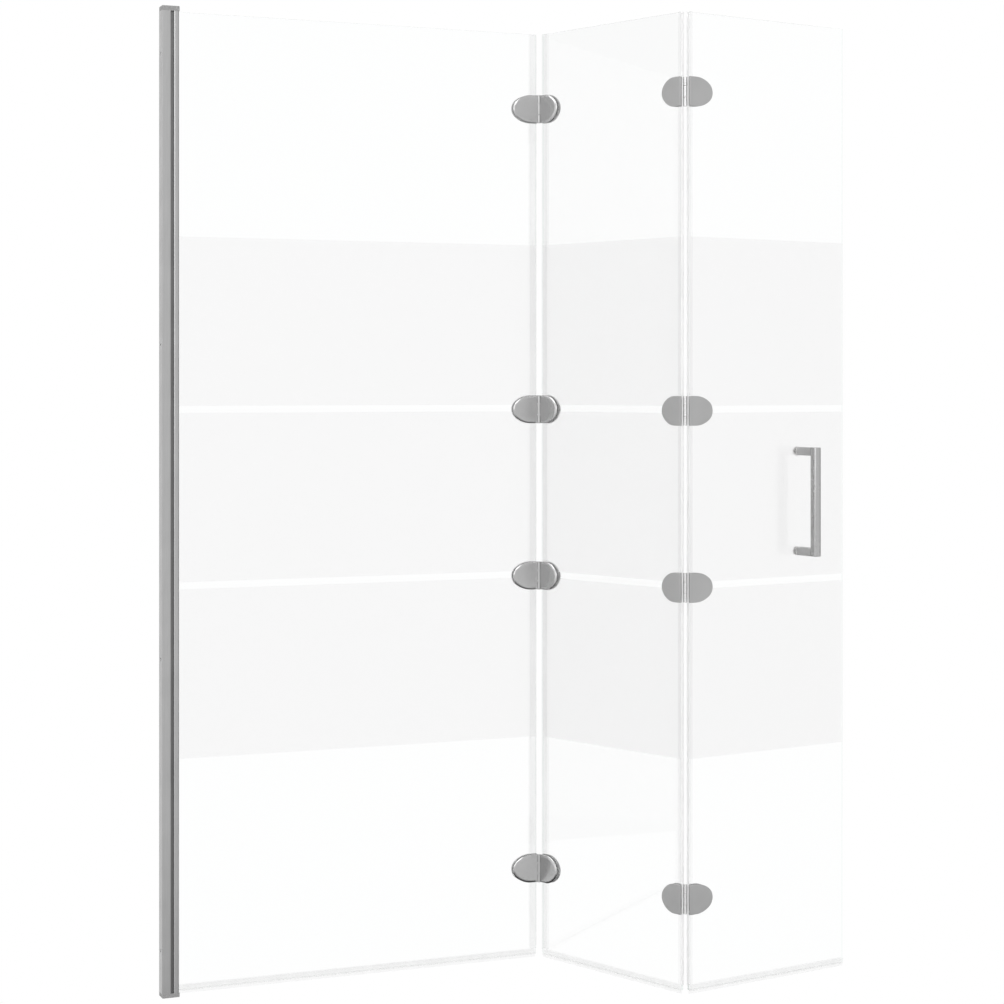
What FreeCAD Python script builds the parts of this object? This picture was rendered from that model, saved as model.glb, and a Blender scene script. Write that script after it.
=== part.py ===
import FreeCAD, Part
import math
import os

# Folding bath screen: one fixed glass in a wall profile, and two more glasses that fold on butt hinges.
# Millimetres. X runs along the fixed glass away from the wall, -Y is the room side, Z is up.
# The origin is on the wall, at the foot of the wall channel, in the middle plane of the fixed glass.
# Everything is built with the screen stretched flat, and then each panel is turned to its rest angle.

# Panels and folds
fixed_reach = 580.0
middle_width = 290.0
end_width = 290.0
fold_1_rest_deg = 69.6
fold_2_rest_deg = 80.5
profile_length = 1387.0
glass_thickness = 4.0
glass_foot = 2.0
glass_arris = 0.4

# Wall channel
channel_width = 18.0
channel_depth = 12.5
channel_back = 2.0
channel_wall = 1.5
channel_lip_radius = 0.7
wall_hole_radius = 2.5
wall_hole_end_inset = 60.0
wall_hole_share = 0.34

# Glass profile
telescope_clearance = 0.3
profile_leg_start = 4.0
profile_leg_wall = 1.6
profile_web = 1.5
groove_width = 4.0
profile_head_depth = 8.5
profile_head_radius = 3.0
glass_seat_gap = 1.5
glazing_gasket_thickness = 1.5
glazing_lip = 0.6
glazing_lip_height = 1.2

# Caps on the ends of the profiles
top_cap_thickness = 7.0
bottom_cap_thickness = 6.0
cap_overhang = 0.2
cap_wall_gap = 0.3
cap_edge_radius = 1.0
cap_plug_depth = 8.0
cap_plug_clearance = 0.2

# Screws that lock the glass profile in the channel, with their snap caps
fixing_screw_shares = (0.08, 0.5, 0.92)
fixing_screw_x = 8.0
fixing_shank_radius = 1.75
fixing_hole_clearance = 0.05
fixing_head_radius = 3.2
fixing_head_height = 1.6
fixing_tip = 1.0
fixing_cap_radius = 4.4
fixing_cap_wall = 0.9
fixing_cap_clearance = 0.1
fixing_cap_edge = 0.5

# Hinges: the axis stands off the valley face of the glass, so the leaves close face to face
hinge_foot_inset = 130.4
hinge_top_inset = 112.7
hinge_middle_shares = (0.4121, 0.5927)
axis_standoff = 2.6
oval_reach = 41.5
oval_middle_reach = 36.6
oval_half_height = 21.0
oval_shoulder = 12.0
oval_tip_share = 0.78
leaf_gasket = 0.5
leaf_thickness = 2.0
leaf_rim = 0.5
leaf_bevel_width = 4.5
knuckle_radius = 2.6
knuckle_gap = 0.3
knuckle_axial_gap = 0.4
knuckle_outer_share = 0.3
pin_radius = 1.25
pin_chamfer = 0.3
pin_seat_clearance = 0.02
bush_wall = 0.45
bush_clearance = 0.05
clamp_screw_u = 16.0
clamp_screw_w = 10.0
clamp_shank_radius = 2.0
clamp_thread_clearance = 0.05
clamp_boss_radius = 3.6
clamp_boss_recess = 0.6
clamp_hole_clearance = 0.9
clamp_thread_skin = 0.9
clamp_head_radius = 3.2
clamp_head_height = 0.8
clamp_head_clearance = 0.2
clamp_socket_radius = 1.3
clamp_socket_depth = 0.5
clamp_tip_gap = 0.3
clamp_plate = 1.4
cover_edge = 0.4
cover_top = 1.7
cover_wall = 0.8
cover_snap_clearance = 0.15
cover_corner_radius = 1.6
cover_edge_radius = 0.5

# Seals
seal_wall = 0.8
fold_1_seal_gap = 3.3
fold_2_seal_gap = 1.0
fold_1_seal_leg = 10.0
fold_2_seal_leg = 5.5
seal_hinge_gap = 0.8
seal_web_inset = 0.2
bottom_seal_leg = 7.0
bottom_seal_fin = 4.2
bottom_seal_fin_thickness = 1.2
bottom_seal_end_gap = 0.6

# Handle
handle_section = 12.0
handle_length = 158.0
handle_centre_height = 689.0
handle_edge_inset = 85.0
handle_standoff = 37.5
handle_edge_radius = 1.4
handle_front_radius = 4.4
handle_spigot_radius = 3.5
handle_spigot_depth = 5.0
handle_spigot_clearance = 0.05
handle_washer = 1.0
handle_hole_radius = 4.0
handle_screw_radius = 2.5
handle_thread_depth = 14.0
handle_thread_clearance = 0.05
handle_thread_gap = 2.0
handle_rosette_radius = 6.4
handle_rosette_height = 3.0
handle_rosette_edge = 0.8
handle_head_radius = 4.5
handle_head_height = 2.0
handle_head_clearance = 0.2
handle_socket_radius = 1.7
handle_socket_depth = 1.2

# One overrun serves every through cut, and edges count as parallel above this share of a full match
overrun = 1.0
parallel_share = 0.9
half_turn_deg = 180.0

# Places worked out from the sizes above
half_glass = glass_thickness / 2
glass_top = profile_length
half_channel = channel_width / 2
leg_outer = half_channel - channel_wall - telescope_clearance
leg_inner = leg_outer - profile_leg_wall
slot_half = half_glass + glazing_gasket_thickness
head_start = channel_depth + groove_width
head_end = head_start + profile_head_depth
slot_floor = channel_depth
fixed_glass_start = slot_floor + glass_seat_gap
fold_1_x = fixed_reach
fold_2_x = fold_1_x + middle_width
free_edge_x = fold_2_x + end_width
axis_offset = half_glass + axis_standoff
fold_1_axis = FreeCAD.Vector(fold_1_x, -axis_offset, 0)
fold_2_axis = FreeCAD.Vector(fold_2_x, axis_offset, 0)
fold_1_glass_gap = fold_1_seal_gap + seal_wall
fold_2_glass_gap = fold_2_seal_gap + seal_wall
middle_hinges = [share * profile_length for share in hinge_middle_shares]
hinge_heights = [hinge_foot_inset] + middle_hinges + [profile_length - hinge_top_inset]
leaf_edge = knuckle_radius + knuckle_gap
bush_radius = pin_radius + bush_clearance + bush_wall
outer_knuckle = 2 * oval_half_height * knuckle_outer_share
middle_knuckle = 2 * (oval_half_height - outer_knuckle - knuckle_axial_gap)
outer_spans = (
    (-oval_half_height, outer_knuckle - oval_half_height),
    (oval_half_height - outer_knuckle, oval_half_height),
)
middle_spans = ((-middle_knuckle / 2, middle_knuckle / 2),)
clamp_hole_radius = clamp_boss_radius + clamp_hole_clearance
clamp_top = leaf_gasket + clamp_plate
cover_height = clamp_top + cover_top
handle_x = free_edge_x - handle_edge_inset
handle_half = handle_section / 2
handle_low = handle_centre_height - handle_length / 2
handle_high = handle_centre_height + handle_length / 2
post_heights = (handle_low + handle_half, handle_high - handle_half)
bar_back = -half_glass - handle_standoff + handle_half

# The room side and the bath side of the glass, and the two sides of a fold
ROOM = -1
BATH = 1
WALL_SIDE = -1
FREE_SIDE = 1

X_AXIS = FreeCAD.Vector(1, 0, 0)
Y_AXIS = FreeCAD.Vector(0, 1, 0)
Z_AXIS = FreeCAD.Vector(0, 0, 1)
ORIGIN = FreeCAD.Vector(0, 0, 0)


def box(x_low, x_high, y_low, y_high, z_low, z_high):
    """Return a block between two corners."""
    corner = FreeCAD.Vector(x_low, y_low, z_low)
    return Part.makeBox(x_high - x_low, y_high - y_low, z_high - z_low, corner)


def upright(points, z_low, z_high):
    """Return an outline in XY, drawn upwards between two heights."""
    corners = [FreeCAD.Vector(x, y, z_low) for x, y in points]
    face = Part.Face(Part.makePolygon(corners + corners[:1]))
    return face.extrude(FreeCAD.Vector(0, 0, z_high - z_low))


def rod_y(radius, x, z, y_low, y_high):
    """Return a cylinder along Y between two places."""
    return Part.makeCylinder(radius, y_high - y_low, FreeCAD.Vector(x, y_low, z), Y_AXIS)


def upright_edges(shape, keep):
    """Return the straight vertical edges whose middle passes a test on x and y."""
    chosen = []
    for edge in shape.Edges:
        low, high = edge.BoundBox.ZMin, edge.BoundBox.ZMax
        middle = edge.CenterOfMass
        straight = edge.BoundBox.XLength + edge.BoundBox.YLength < glass_arris
        if straight and high > low and keep(middle.x, middle.y):
            chosen.append(edge)
    return chosen


def turned(shape, body):
    """Return a flat-built shape turned to the rest pose of its body."""
    posed = shape.copy()
    if body == "end_panel":
        posed.rotate(fold_2_axis, Z_AXIS, fold_2_rest_deg)
    if body != "wall_side":
        posed.rotate(fold_1_axis, Z_AXIS, -fold_1_rest_deg)
    return posed


def save(node, body, shapes):
    """Write one node: its solids in the rest pose."""
    posed = [turned(shape, body) for shape in shapes]
    whole = posed[0] if len(posed) == 1 else Part.makeCompound(posed)
    whole.exportStep("parts/" + node + ".step")


def placed(shape, fold_x, side, face, height):
    """Return a hinge piece carried from its own frame to one leaf's place.

    In its own frame a piece lies at +X of the fold axis and on the +Y face of the glass.
    """
    moved = shape.copy()
    if side < 0 and face < 0:
        moved.rotate(ORIGIN, Z_AXIS, half_turn_deg)
    elif side < 0:
        moved.rotate(ORIGIN, Y_AXIS, half_turn_deg)
    elif face < 0:
        moved.rotate(ORIGIN, X_AXIS, half_turn_deg)
    moved.translate(FreeCAD.Vector(fold_x, 0, height))
    return moved


def half_oval(full_reach, edge, inset, low, high):
    """Return a half-oval plate: straight towards the axis and up to its shoulders, then three arcs.

    Args: full_reach is the outline's tip, edge the straight side's place, inset draws the outline
    in, low and high are heights over the glass face.
    """
    reach = full_reach - inset
    half = oval_half_height - inset
    tip = oval_tip_share * oval_half_height - inset
    tip_x = reach - tip
    run = tip_x - oval_shoulder
    side_radius = (run ** 2 + half ** 2 - tip ** 2) / (2 * (half - tip))
    side_z = half - side_radius
    span = math.hypot(run, side_z)
    join_x = tip_x + tip * run / span
    join_z = -tip * side_z / span
    mid_x = (oval_shoulder + join_x) / 2
    mid_z = side_z + math.sqrt(side_radius ** 2 - (mid_x - oval_shoulder) ** 2)
    y = half_glass + low
    turns = ((oval_shoulder, half), (mid_x, mid_z), (join_x, join_z))
    upper = [FreeCAD.Vector(px, y, pz) for px, pz in turns]
    lower = [FreeCAD.Vector(p.x, y, -p.z) for p in reversed(upper)]
    top_corner = FreeCAD.Vector(edge, y, half)
    foot_corner = FreeCAD.Vector(edge, y, -half)
    edges = [
        Part.LineSegment(top_corner, upper[0]).toShape(),
        Part.Arc(*upper).toShape(),
        Part.Arc(upper[-1], FreeCAD.Vector(reach, y, 0), lower[0]).toShape(),
        Part.Arc(*lower).toShape(),
        Part.LineSegment(lower[-1], foot_corner).toShape(),
        Part.LineSegment(foot_corner, top_corner).toShape(),
    ]
    return Part.Face(Part.Wire(edges)).extrude(FreeCAD.Vector(0, high - low, 0))


def clamp_holes(radius, low, high):
    """Return the two cylinders of a leaf's screws between two heights over the glass face."""
    return [
        rod_y(radius, clamp_screw_u, w, half_glass + low, half_glass + high)
        for w in (-clamp_screw_w, clamp_screw_w)
    ]


def curved_rim(shape, height):
    """Return a plate's edges at one height over the glass face, without its straight side."""
    y = half_glass + height
    near = glass_arris / 2
    return [
        edge for edge in shape.Edges
        if abs(edge.BoundBox.YMin - y) < near and abs(edge.BoundBox.YMax - y) < near
        and edge.BoundBox.XLength > near
    ]


def leaf(reach, spans, bore_radius):
    """Return a hinge leaf: pillowed plate, knuckles on the given spans, and two threaded bosses."""
    top = leaf_gasket + leaf_thickness
    plate = half_oval(reach, leaf_edge, 0, leaf_gasket, top)
    plate = plate.makeChamfer(leaf_thickness - leaf_rim, leaf_bevel_width, curved_rim(plate, top))
    axis_y = half_glass + axis_standoff
    thread = clamp_shank_radius + clamp_thread_clearance
    bores = clamp_holes(thread, -glass_thickness, top - clamp_thread_skin)
    solids = clamp_holes(clamp_boss_radius, clamp_boss_recess - glass_thickness, leaf_gasket + leaf_rim)
    for low, high in spans:
        seat = FreeCAD.Vector(0, axis_y, low)
        arm_end = leaf_edge + knuckle_radius
        solids.append(box(0, arm_end, half_glass + leaf_gasket, half_glass + top, low, high))
        solids.append(Part.makeCylinder(knuckle_radius, high - low, seat, Z_AXIS))
        bores.append(Part.makeCylinder(bore_radius, high - low, seat, Z_AXIS))
    return plate.multiFuse(solids).removeSplitter().cut(Part.makeCompound(bores))


def leaf_side_gasket(reach, glass_gap):
    """Return the gasket between a leaf and the glass."""
    pad = half_oval(reach, max(glass_gap, leaf_edge), cover_snap_clearance, 0, leaf_gasket)
    return pad.cut(Part.makeCompound(clamp_holes(clamp_hole_radius, -overrun, leaf_gasket + overrun)))


def cover_side_gasket(reach, glass_gap):
    """Return the gasket between a clamp plate and the glass."""
    pad = half_oval(reach, glass_gap, cover_snap_clearance, 0, leaf_gasket)
    hole = clamp_shank_radius + clamp_head_clearance
    return pad.cut(Part.makeCompound(clamp_holes(hole, -overrun, leaf_gasket + overrun)))


def clamp_plate_solid(reach):
    """Return the plate under a cover, with a pocket for each screw head."""
    inset = cover_wall + cover_snap_clearance
    plate = half_oval(reach, cover_edge + inset, inset, leaf_gasket, clamp_top)
    hole = clamp_shank_radius + clamp_head_clearance
    pocket = clamp_head_radius + clamp_head_clearance
    cuts = clamp_holes(hole, 0, clamp_top + overrun)
    cuts += clamp_holes(pocket, clamp_top - clamp_head_height, clamp_top + overrun)
    return plate.cut(Part.makeCompound(cuts))


def clamp_screw_pair():
    """Return a leaf's two screws: flat heads in the clamp plate, shanks in the leaf's bosses."""
    seat = clamp_top - clamp_head_height
    leaf_floor = leaf_gasket + leaf_thickness - clamp_thread_skin
    tip = -(glass_thickness + leaf_floor - clamp_tip_gap)
    heads = clamp_holes(clamp_head_radius, seat, clamp_top)
    shanks = clamp_holes(clamp_shank_radius, tip, seat)
    sockets = clamp_holes(clamp_socket_radius, clamp_top - clamp_socket_depth, clamp_top + overrun)
    return [head.fuse(shank).cut(socket) for head, shank, socket in zip(heads, shanks, sockets)]


def cover(reach):
    """Return the snap-on cover: a thin tray over the clamp plate, its two inner corners rounded."""
    tray = half_oval(reach, cover_edge, 0, leaf_gasket, cover_height)
    corners = [
        edge for edge in tray.Edges
        if edge.BoundBox.XMax < cover_edge + glass_arris and edge.BoundBox.YLength > cover_top
    ]
    tray = tray.makeFillet(cover_corner_radius, corners)
    pocket = half_oval(reach, cover_edge + cover_wall, cover_wall, leaf_gasket - overrun, clamp_top)
    tray = tray.cut(pocket)
    top = half_glass + cover_height
    rim = [edge for edge in tray.Edges if edge.BoundBox.YMin > top - glass_arris]
    return tray.makeFillet(cover_edge_radius, rim)


def hinge_pin():
    """Return a pin through all the knuckles of one hinge."""
    start = FreeCAD.Vector(0, half_glass + axis_standoff, -oval_half_height)
    pin = Part.makeCylinder(pin_radius, 2 * oval_half_height, start, Z_AXIS)
    return pin.makeChamfer(pin_chamfer, [edge for edge in pin.Edges if edge.BoundBox.ZLength < pin_chamfer])


def hinge_bush():
    """Return the sleeve that turns on a pin inside the middle knuckle."""
    start = FreeCAD.Vector(0, half_glass + axis_standoff, -middle_knuckle / 2)
    sleeve = Part.makeCylinder(bush_radius, middle_knuckle, start, Z_AXIS)
    return sleeve.cut(Part.makeCylinder(pin_radius + bush_clearance, middle_knuckle, start, Z_AXIS))


def on_heights(shapes, fold_x, side, face):
    """Return copies of hinge pieces at every hinge height of one fold side."""
    return [placed(shape, fold_x, side, face, z) for z in hinge_heights for shape in shapes]


def save_hinge_side(name, body, fold_x, side, valley, glass_gap, owns_pin):
    """Write one side of a fold's four hinges, and return its gaskets, clamp plates and screws."""
    reach = oval_middle_reach if body == "middle_panel" else oval_reach
    if owns_pin:
        plate = leaf(reach, outer_spans, pin_radius + pin_seat_clearance)
    else:
        plate = leaf(reach, middle_spans, bush_radius + pin_seat_clearance)
    for number, z in enumerate(hinge_heights, start=1):
        save("%s_leaf_%d" % (name, number), body, [placed(plate, fold_x, side, valley, z)])
    save(name + "_covers", body, on_heights([cover(reach)], fold_x, side, -valley))
    gaskets = on_heights([leaf_side_gasket(reach, glass_gap)], fold_x, side, valley)
    gaskets += on_heights([cover_side_gasket(reach, glass_gap)], fold_x, side, -valley)
    plates = on_heights([clamp_plate_solid(reach)], fold_x, side, -valley)
    screws = on_heights(clamp_screw_pair(), fold_x, side, -valley)
    return gaskets, plates, screws


def save_clamping(name, body, sides):
    """Write the gaskets, clamp plates and clamp screws of all hinge sides on one panel."""
    for index, node in enumerate(("leaf_gaskets", "clamp_plates", "clamp_screws")):
        save(name + "_" + node, body, [shape for side in sides for shape in side[index]])


def save_fold_axis(name, parent, child, fold_x, valley):
    """Write the pins of a fold on its parent body and the bushes on its child body."""
    save(name + "_pins", parent, on_heights([hinge_pin()], fold_x, FREE_SIDE, valley))
    save(name + "_bushes", child, on_heights([hinge_bush()], fold_x, FREE_SIDE, valley))


def pane(x_low, x_high, clamp_sides, holes):
    """Return a glass with ground edges, its clamp holes and any other holes.

    Args: clamp_sides holds (fold_x, side) for each row of hinges, holes holds (x, z, radius).
    """
    glass = box(x_low, x_high, -half_glass, half_glass, glass_foot, glass_top)
    glass = glass.makeChamfer(glass_arris, glass.Edges)
    places = list(holes)
    for fold_x, side in clamp_sides:
        for z in hinge_heights:
            for w in (-clamp_screw_w, clamp_screw_w):
                places.append((fold_x + side * clamp_screw_u, z + w, clamp_hole_radius))
    drills = [rod_y(r, x, z, -half_glass - overrun, half_glass + overrun) for x, z, r in places]
    return glass.cut(Part.makeCompound(drills))


def edge_seal(fold_x, side, glass_gap, leg, web_runs_on):
    """Return a fold seal: U-clips on the glass edge, in lengths between the hinges.

    Args: web_runs_on keeps the web whole past the hinges, so that the lengths are one piece.
    """
    clear = oval_half_height + seal_hinge_gap
    stops = [glass_foot + bottom_seal_leg + seal_hinge_gap]
    for z in hinge_heights:
        stops += [z - clear, z + clear]
    stops.append(glass_top)
    outer = half_glass + seal_wall
    start = glass_gap - seal_wall
    end = glass_gap + leg
    section = [
        (start, -outer), (end, -outer), (end, -half_glass), (glass_gap, -half_glass),
        (glass_gap, half_glass), (end, half_glass), (end, outer), (start, outer),
    ]
    points = [(fold_x + side * u, y) for u, y in section]
    lengths = [upright(points, low, high) for low, high in zip(stops[::2], stops[1::2])]
    if not web_runs_on:
        return lengths
    half = half_glass - seal_web_inset
    x_low, x_high = sorted((fold_x + side * start, fold_x + side * glass_gap))
    web = box(x_low, x_high, -half, half, stops[0], stops[-1])
    return [web.multiFuse(lengths).removeSplitter()]


def bottom_seal(x_low, x_high):
    """Return a bottom seal: a U-clip on the glass foot with a drip fin that tapers to its lip."""
    outer = half_glass + seal_wall
    top = glass_foot + bottom_seal_leg
    floor = glass_foot - seal_wall
    tip = floor - bottom_seal_fin
    root = bottom_seal_fin_thickness
    section = [
        (-outer, floor), (-root, floor), (-root / 2, tip), (root / 2, tip), (root, floor), (outer, floor),
        (outer, top), (half_glass, top), (half_glass, glass_foot), (-half_glass, glass_foot),
        (-half_glass, top), (-outer, top),
    ]
    corners = [FreeCAD.Vector(x_low, y, z) for y, z in section]
    face = Part.Face(Part.makePolygon(corners + corners[:1]))
    return face.extrude(FreeCAD.Vector(x_high - x_low, 0, 0))


def wall_hole_heights():
    """Return the heights of the four wall screw holes: an outer pair and an inner pair."""
    inner = wall_hole_share * profile_length
    outer = wall_hole_end_inset
    return (outer, inner, profile_length - inner, profile_length - outer)


def fixing_heights():
    """Return the heights of the screws that lock the glass profile."""
    return [share * profile_length for share in fixing_screw_shares]


def wall_channel():
    """Return the U-shaped extrusion on the wall, with its wall holes and fixing holes."""
    inner = half_channel - channel_wall
    section = [
        (0, -half_channel), (channel_depth, -half_channel), (channel_depth, -inner), (channel_back, -inner),
        (channel_back, inner), (channel_depth, inner), (channel_depth, half_channel), (0, half_channel),
    ]
    channel = upright(section, 0, profile_length)
    lips = upright_edges(channel, lambda x, y: x > channel_back and abs(y) > inner + telescope_clearance)
    channel = channel.makeFillet(channel_lip_radius, lips)
    drills = []
    for z in wall_hole_heights():
        start = FreeCAD.Vector(-overrun, 0, z)
        drills.append(Part.makeCylinder(wall_hole_radius, channel_back + 2 * overrun, start, X_AXIS))
    radius = fixing_shank_radius + fixing_hole_clearance
    for z in fixing_heights():
        drills.append(rod_y(radius, fixing_screw_x, z, inner - overrun, half_channel + overrun))
    return channel.cut(Part.makeCompound(drills))


def glass_profile():
    """Return the extrusion that slides in the channel and holds the fixed glass in its head."""
    web_start = channel_depth - profile_web
    half = [
        (web_start, leg_inner), (profile_leg_start, leg_inner), (profile_leg_start, leg_outer),
        (channel_depth, leg_outer), (channel_depth, leg_inner), (head_start, leg_inner),
        (head_start, half_channel), (head_end, half_channel), (head_end, slot_half), (slot_floor, slot_half),
    ]
    section = half + [(x, -y) for x, y in reversed(half)]
    extrusion = upright(section, 0, profile_length)
    corners = upright_edges(extrusion, lambda x, y: x > channel_depth and abs(y) > leg_outer)
    extrusion = extrusion.makeFillet(profile_head_radius, corners)
    radius = fixing_shank_radius + fixing_hole_clearance
    drills = [rod_y(radius, fixing_screw_x, z, leg_inner - overrun, half_channel) for z in fixing_heights()]
    return extrusion.cut(Part.makeCompound(drills))


def glazing_gasket(face):
    """Return the strip between the glass and one wall of the slot, with a lip outside it."""
    inner = half_glass
    lip = inner + glazing_lip_height
    end = head_end + glazing_lip
    section = [
        (fixed_glass_start, inner), (end, inner), (end, lip), (head_end, lip), (head_end, slot_half),
        (fixed_glass_start, slot_half),
    ]
    return upright([(x, face * y) for x, y in section], glass_foot, glass_top)


def end_cap(z_low, z_high, outer_z):
    """Return the plate of an end cap, with its rim rounded at the outer height."""
    width = half_channel + cap_overhang
    plate = box(cap_wall_gap, head_end + cap_overhang, -width, width, z_low, z_high)
    rim = [edge for edge in plate.Edges if abs(edge.CenterOfMass.z - outer_z) < glass_arris]
    return plate.makeFillet(cap_edge_radius, rim)


def cap_plug(z_low, z_high):
    """Return the plug of a cap, which fits between the legs of the glass profile."""
    half = leg_inner - cap_plug_clearance
    start = channel_back + cap_plug_clearance
    end = channel_depth - profile_web - cap_plug_clearance
    return box(start, end, -half, half, z_low, z_high)


def top_cap():
    """Return the cap on top of both profiles."""
    high = profile_length + top_cap_thickness
    plate = end_cap(profile_length, high, high)
    return plate.fuse(cap_plug(profile_length - cap_plug_depth, profile_length)).removeSplitter()


def bottom_cap():
    """Return the cap under both profiles, with the pad that carries the fixed glass."""
    plate = end_cap(-bottom_cap_thickness, 0, -bottom_cap_thickness)
    half = half_glass - cap_plug_clearance
    pad = box(fixed_glass_start, head_end - cap_plug_clearance, -half, half, 0, glass_foot)
    return plate.multiFuse([cap_plug(0, cap_plug_depth), pad]).removeSplitter()


def fixing_screw(z):
    """Return one screw that locks the glass profile, its head on the bath side."""
    head = rod_y(fixing_head_radius, fixing_screw_x, z, half_channel, half_channel + fixing_head_height)
    shank = rod_y(fixing_shank_radius, fixing_screw_x, z, leg_inner - fixing_tip, half_channel)
    return head.fuse(shank)


def fixing_cap(z):
    """Return the snap cap over one fixing screw."""
    height = fixing_head_height + fixing_cap_clearance + fixing_cap_wall
    shell = rod_y(fixing_cap_radius, fixing_screw_x, z, half_channel, half_channel + height)
    rim = [edge for edge in shell.Edges if edge.BoundBox.YMin > half_channel + fixing_head_height]
    shell = shell.makeFillet(fixing_cap_edge, rim)
    hollow = fixing_cap_radius - fixing_cap_wall
    depth = fixing_head_height + fixing_cap_clearance
    return shell.cut(rod_y(hollow, fixing_screw_x, z, half_channel, half_channel + depth))


def long_edges(bar, axis, y_low, y_high):
    """Return a bar's edges along an axis, between two places along Y."""
    return [
        edge for edge in bar.Edges
        if abs(edge.tangentAt(edge.FirstParameter).dot(axis)) > parallel_share
        and y_low < edge.CenterOfMass.y < y_high
    ]


def handle_block(y_low, y_high, z_low, z_high):
    """Return a square bar along Y with its long edges rounded."""
    bar = box(handle_x - handle_half, handle_x + handle_half, y_low, y_high, z_low, z_high)
    return bar.makeFillet(handle_edge_radius, long_edges(bar, Y_AXIS, y_low, y_high))


def handle_bar():
    """Return the grip: full rounds at its front, and a socket in its back for each post's spigot."""
    front = bar_back - handle_section
    bar = box(handle_x - handle_half, handle_x + handle_half, front, bar_back, handle_low, handle_high)
    bar = bar.makeFillet(handle_front_radius, long_edges(bar, Z_AXIS, front - overrun, front + overrun))
    bar = bar.makeFillet(handle_edge_radius, long_edges(bar, Z_AXIS, bar_back - overrun, bar_back + overrun))
    radius = handle_spigot_radius + handle_spigot_clearance
    floor = bar_back - handle_spigot_depth - handle_spigot_clearance
    sockets = [rod_y(radius, handle_x, z, floor, bar_back) for z in post_heights]
    return bar.cut(Part.makeCompound(sockets))


def handle_post(z):
    """Return a post from the washer on the glass to the bar, with its thread and its spigot."""
    foot = -half_glass - handle_washer
    post = handle_block(bar_back, foot, z - handle_half, z + handle_half)
    post = post.fuse(rod_y(handle_spigot_radius, handle_x, z, bar_back - handle_spigot_depth, bar_back))
    radius = handle_screw_radius + handle_thread_clearance
    return post.cut(rod_y(radius, handle_x, z, foot - handle_thread_depth, foot))


def handle_washers(z):
    """Return a post's two washers, one on each face of the glass."""
    low, high = -half_glass - handle_washer, half_glass + handle_washer
    front = handle_block(low, -half_glass, z - handle_half, z + handle_half)
    rear = rod_y(handle_rosette_radius - handle_rosette_edge, handle_x, z, half_glass, high)
    bore = rod_y(handle_screw_radius + handle_head_clearance, handle_x, z, low - overrun, high + overrun)
    return [front.cut(bore), rear.cut(bore)]


def handle_rosette(z):
    """Return the disc behind the glass that carries a handle screw's head."""
    low = half_glass + handle_washer
    high = low + handle_rosette_height
    disc = rod_y(handle_rosette_radius, handle_x, z, low, high)
    rim = [edge for edge in disc.Edges if edge.BoundBox.YMin > high - handle_rosette_edge]
    disc = disc.makeFillet(handle_rosette_edge, rim)
    bore = rod_y(handle_screw_radius + handle_head_clearance, handle_x, z, low, high)
    sink = rod_y(handle_head_radius + handle_head_clearance, handle_x, z, high - handle_head_height, high)
    return disc.cut(bore.fuse(sink))


def handle_screw(z):
    """Return a handle screw from its rosette through the glass into the post."""
    high = half_glass + handle_washer + handle_rosette_height
    seat = high - handle_head_height
    tip = -half_glass - handle_washer - handle_thread_depth + handle_thread_gap
    screw = rod_y(handle_head_radius, handle_x, z, seat, high)
    screw = screw.fuse(rod_y(handle_screw_radius, handle_x, z, tip, seat))
    return screw.cut(rod_y(handle_socket_radius, handle_x, z, high - handle_socket_depth, high))


def save_wall_side():
    """Write the pieces that stay still: profiles, caps, fixed glass and the wall half of the first fold."""
    body = "wall_side"
    save("wall_channel", body, [wall_channel()])
    save("glass_profile", body, [glass_profile()])
    save("top_cap", body, [top_cap()])
    save("bottom_cap", body, [bottom_cap()])
    save("glazing_gasket_front", body, [glazing_gasket(ROOM)])
    save("glazing_gasket_rear", body, [glazing_gasket(BATH)])
    save("fixing_screws", body, [fixing_screw(z) for z in fixing_heights()])
    save("fixing_screw_caps", body, [fixing_cap(z) for z in fixing_heights()])
    edge = fold_1_x - fold_1_glass_gap
    save("fixed_glass", body, [pane(fixed_glass_start, edge, [(fold_1_x, WALL_SIDE)], [])])
    seal_start = head_end + glazing_lip + bottom_seal_end_gap
    save("fixed_bottom_seal", body, [bottom_seal(seal_start, edge - bottom_seal_end_gap)])
    save("fixed_fold_seal", body, edge_seal(fold_1_x, WALL_SIDE, fold_1_glass_gap, fold_1_seal_leg, False))
    side = save_hinge_side("fixed", body, fold_1_x, WALL_SIDE, ROOM, fold_1_glass_gap, True)
    save_clamping("fixed", body, [side])


def save_middle_panel():
    """Write the middle panel: its glass, its seals and one side of each fold."""
    body = "middle_panel"
    low = fold_1_x + fold_1_glass_gap
    high = fold_2_x - fold_2_glass_gap
    save("middle_glass", body, [pane(low, high, [(fold_1_x, FREE_SIDE), (fold_2_x, WALL_SIDE)], [])])
    save("middle_bottom_seal", body, [bottom_seal(low + bottom_seal_end_gap, high - bottom_seal_end_gap)])
    save("middle_fold_1_seal", body, edge_seal(fold_1_x, FREE_SIDE, fold_1_glass_gap, fold_1_seal_leg, False))
    save("middle_fold_2_seal", body, edge_seal(fold_2_x, WALL_SIDE, fold_2_glass_gap, fold_2_seal_leg, True))
    sides = [
        save_hinge_side("middle_fold_1", body, fold_1_x, FREE_SIDE, ROOM, fold_1_glass_gap, False),
        save_hinge_side("middle_fold_2", body, fold_2_x, WALL_SIDE, BATH, fold_2_glass_gap, True),
    ]
    save_clamping("middle", body, sides)


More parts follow.
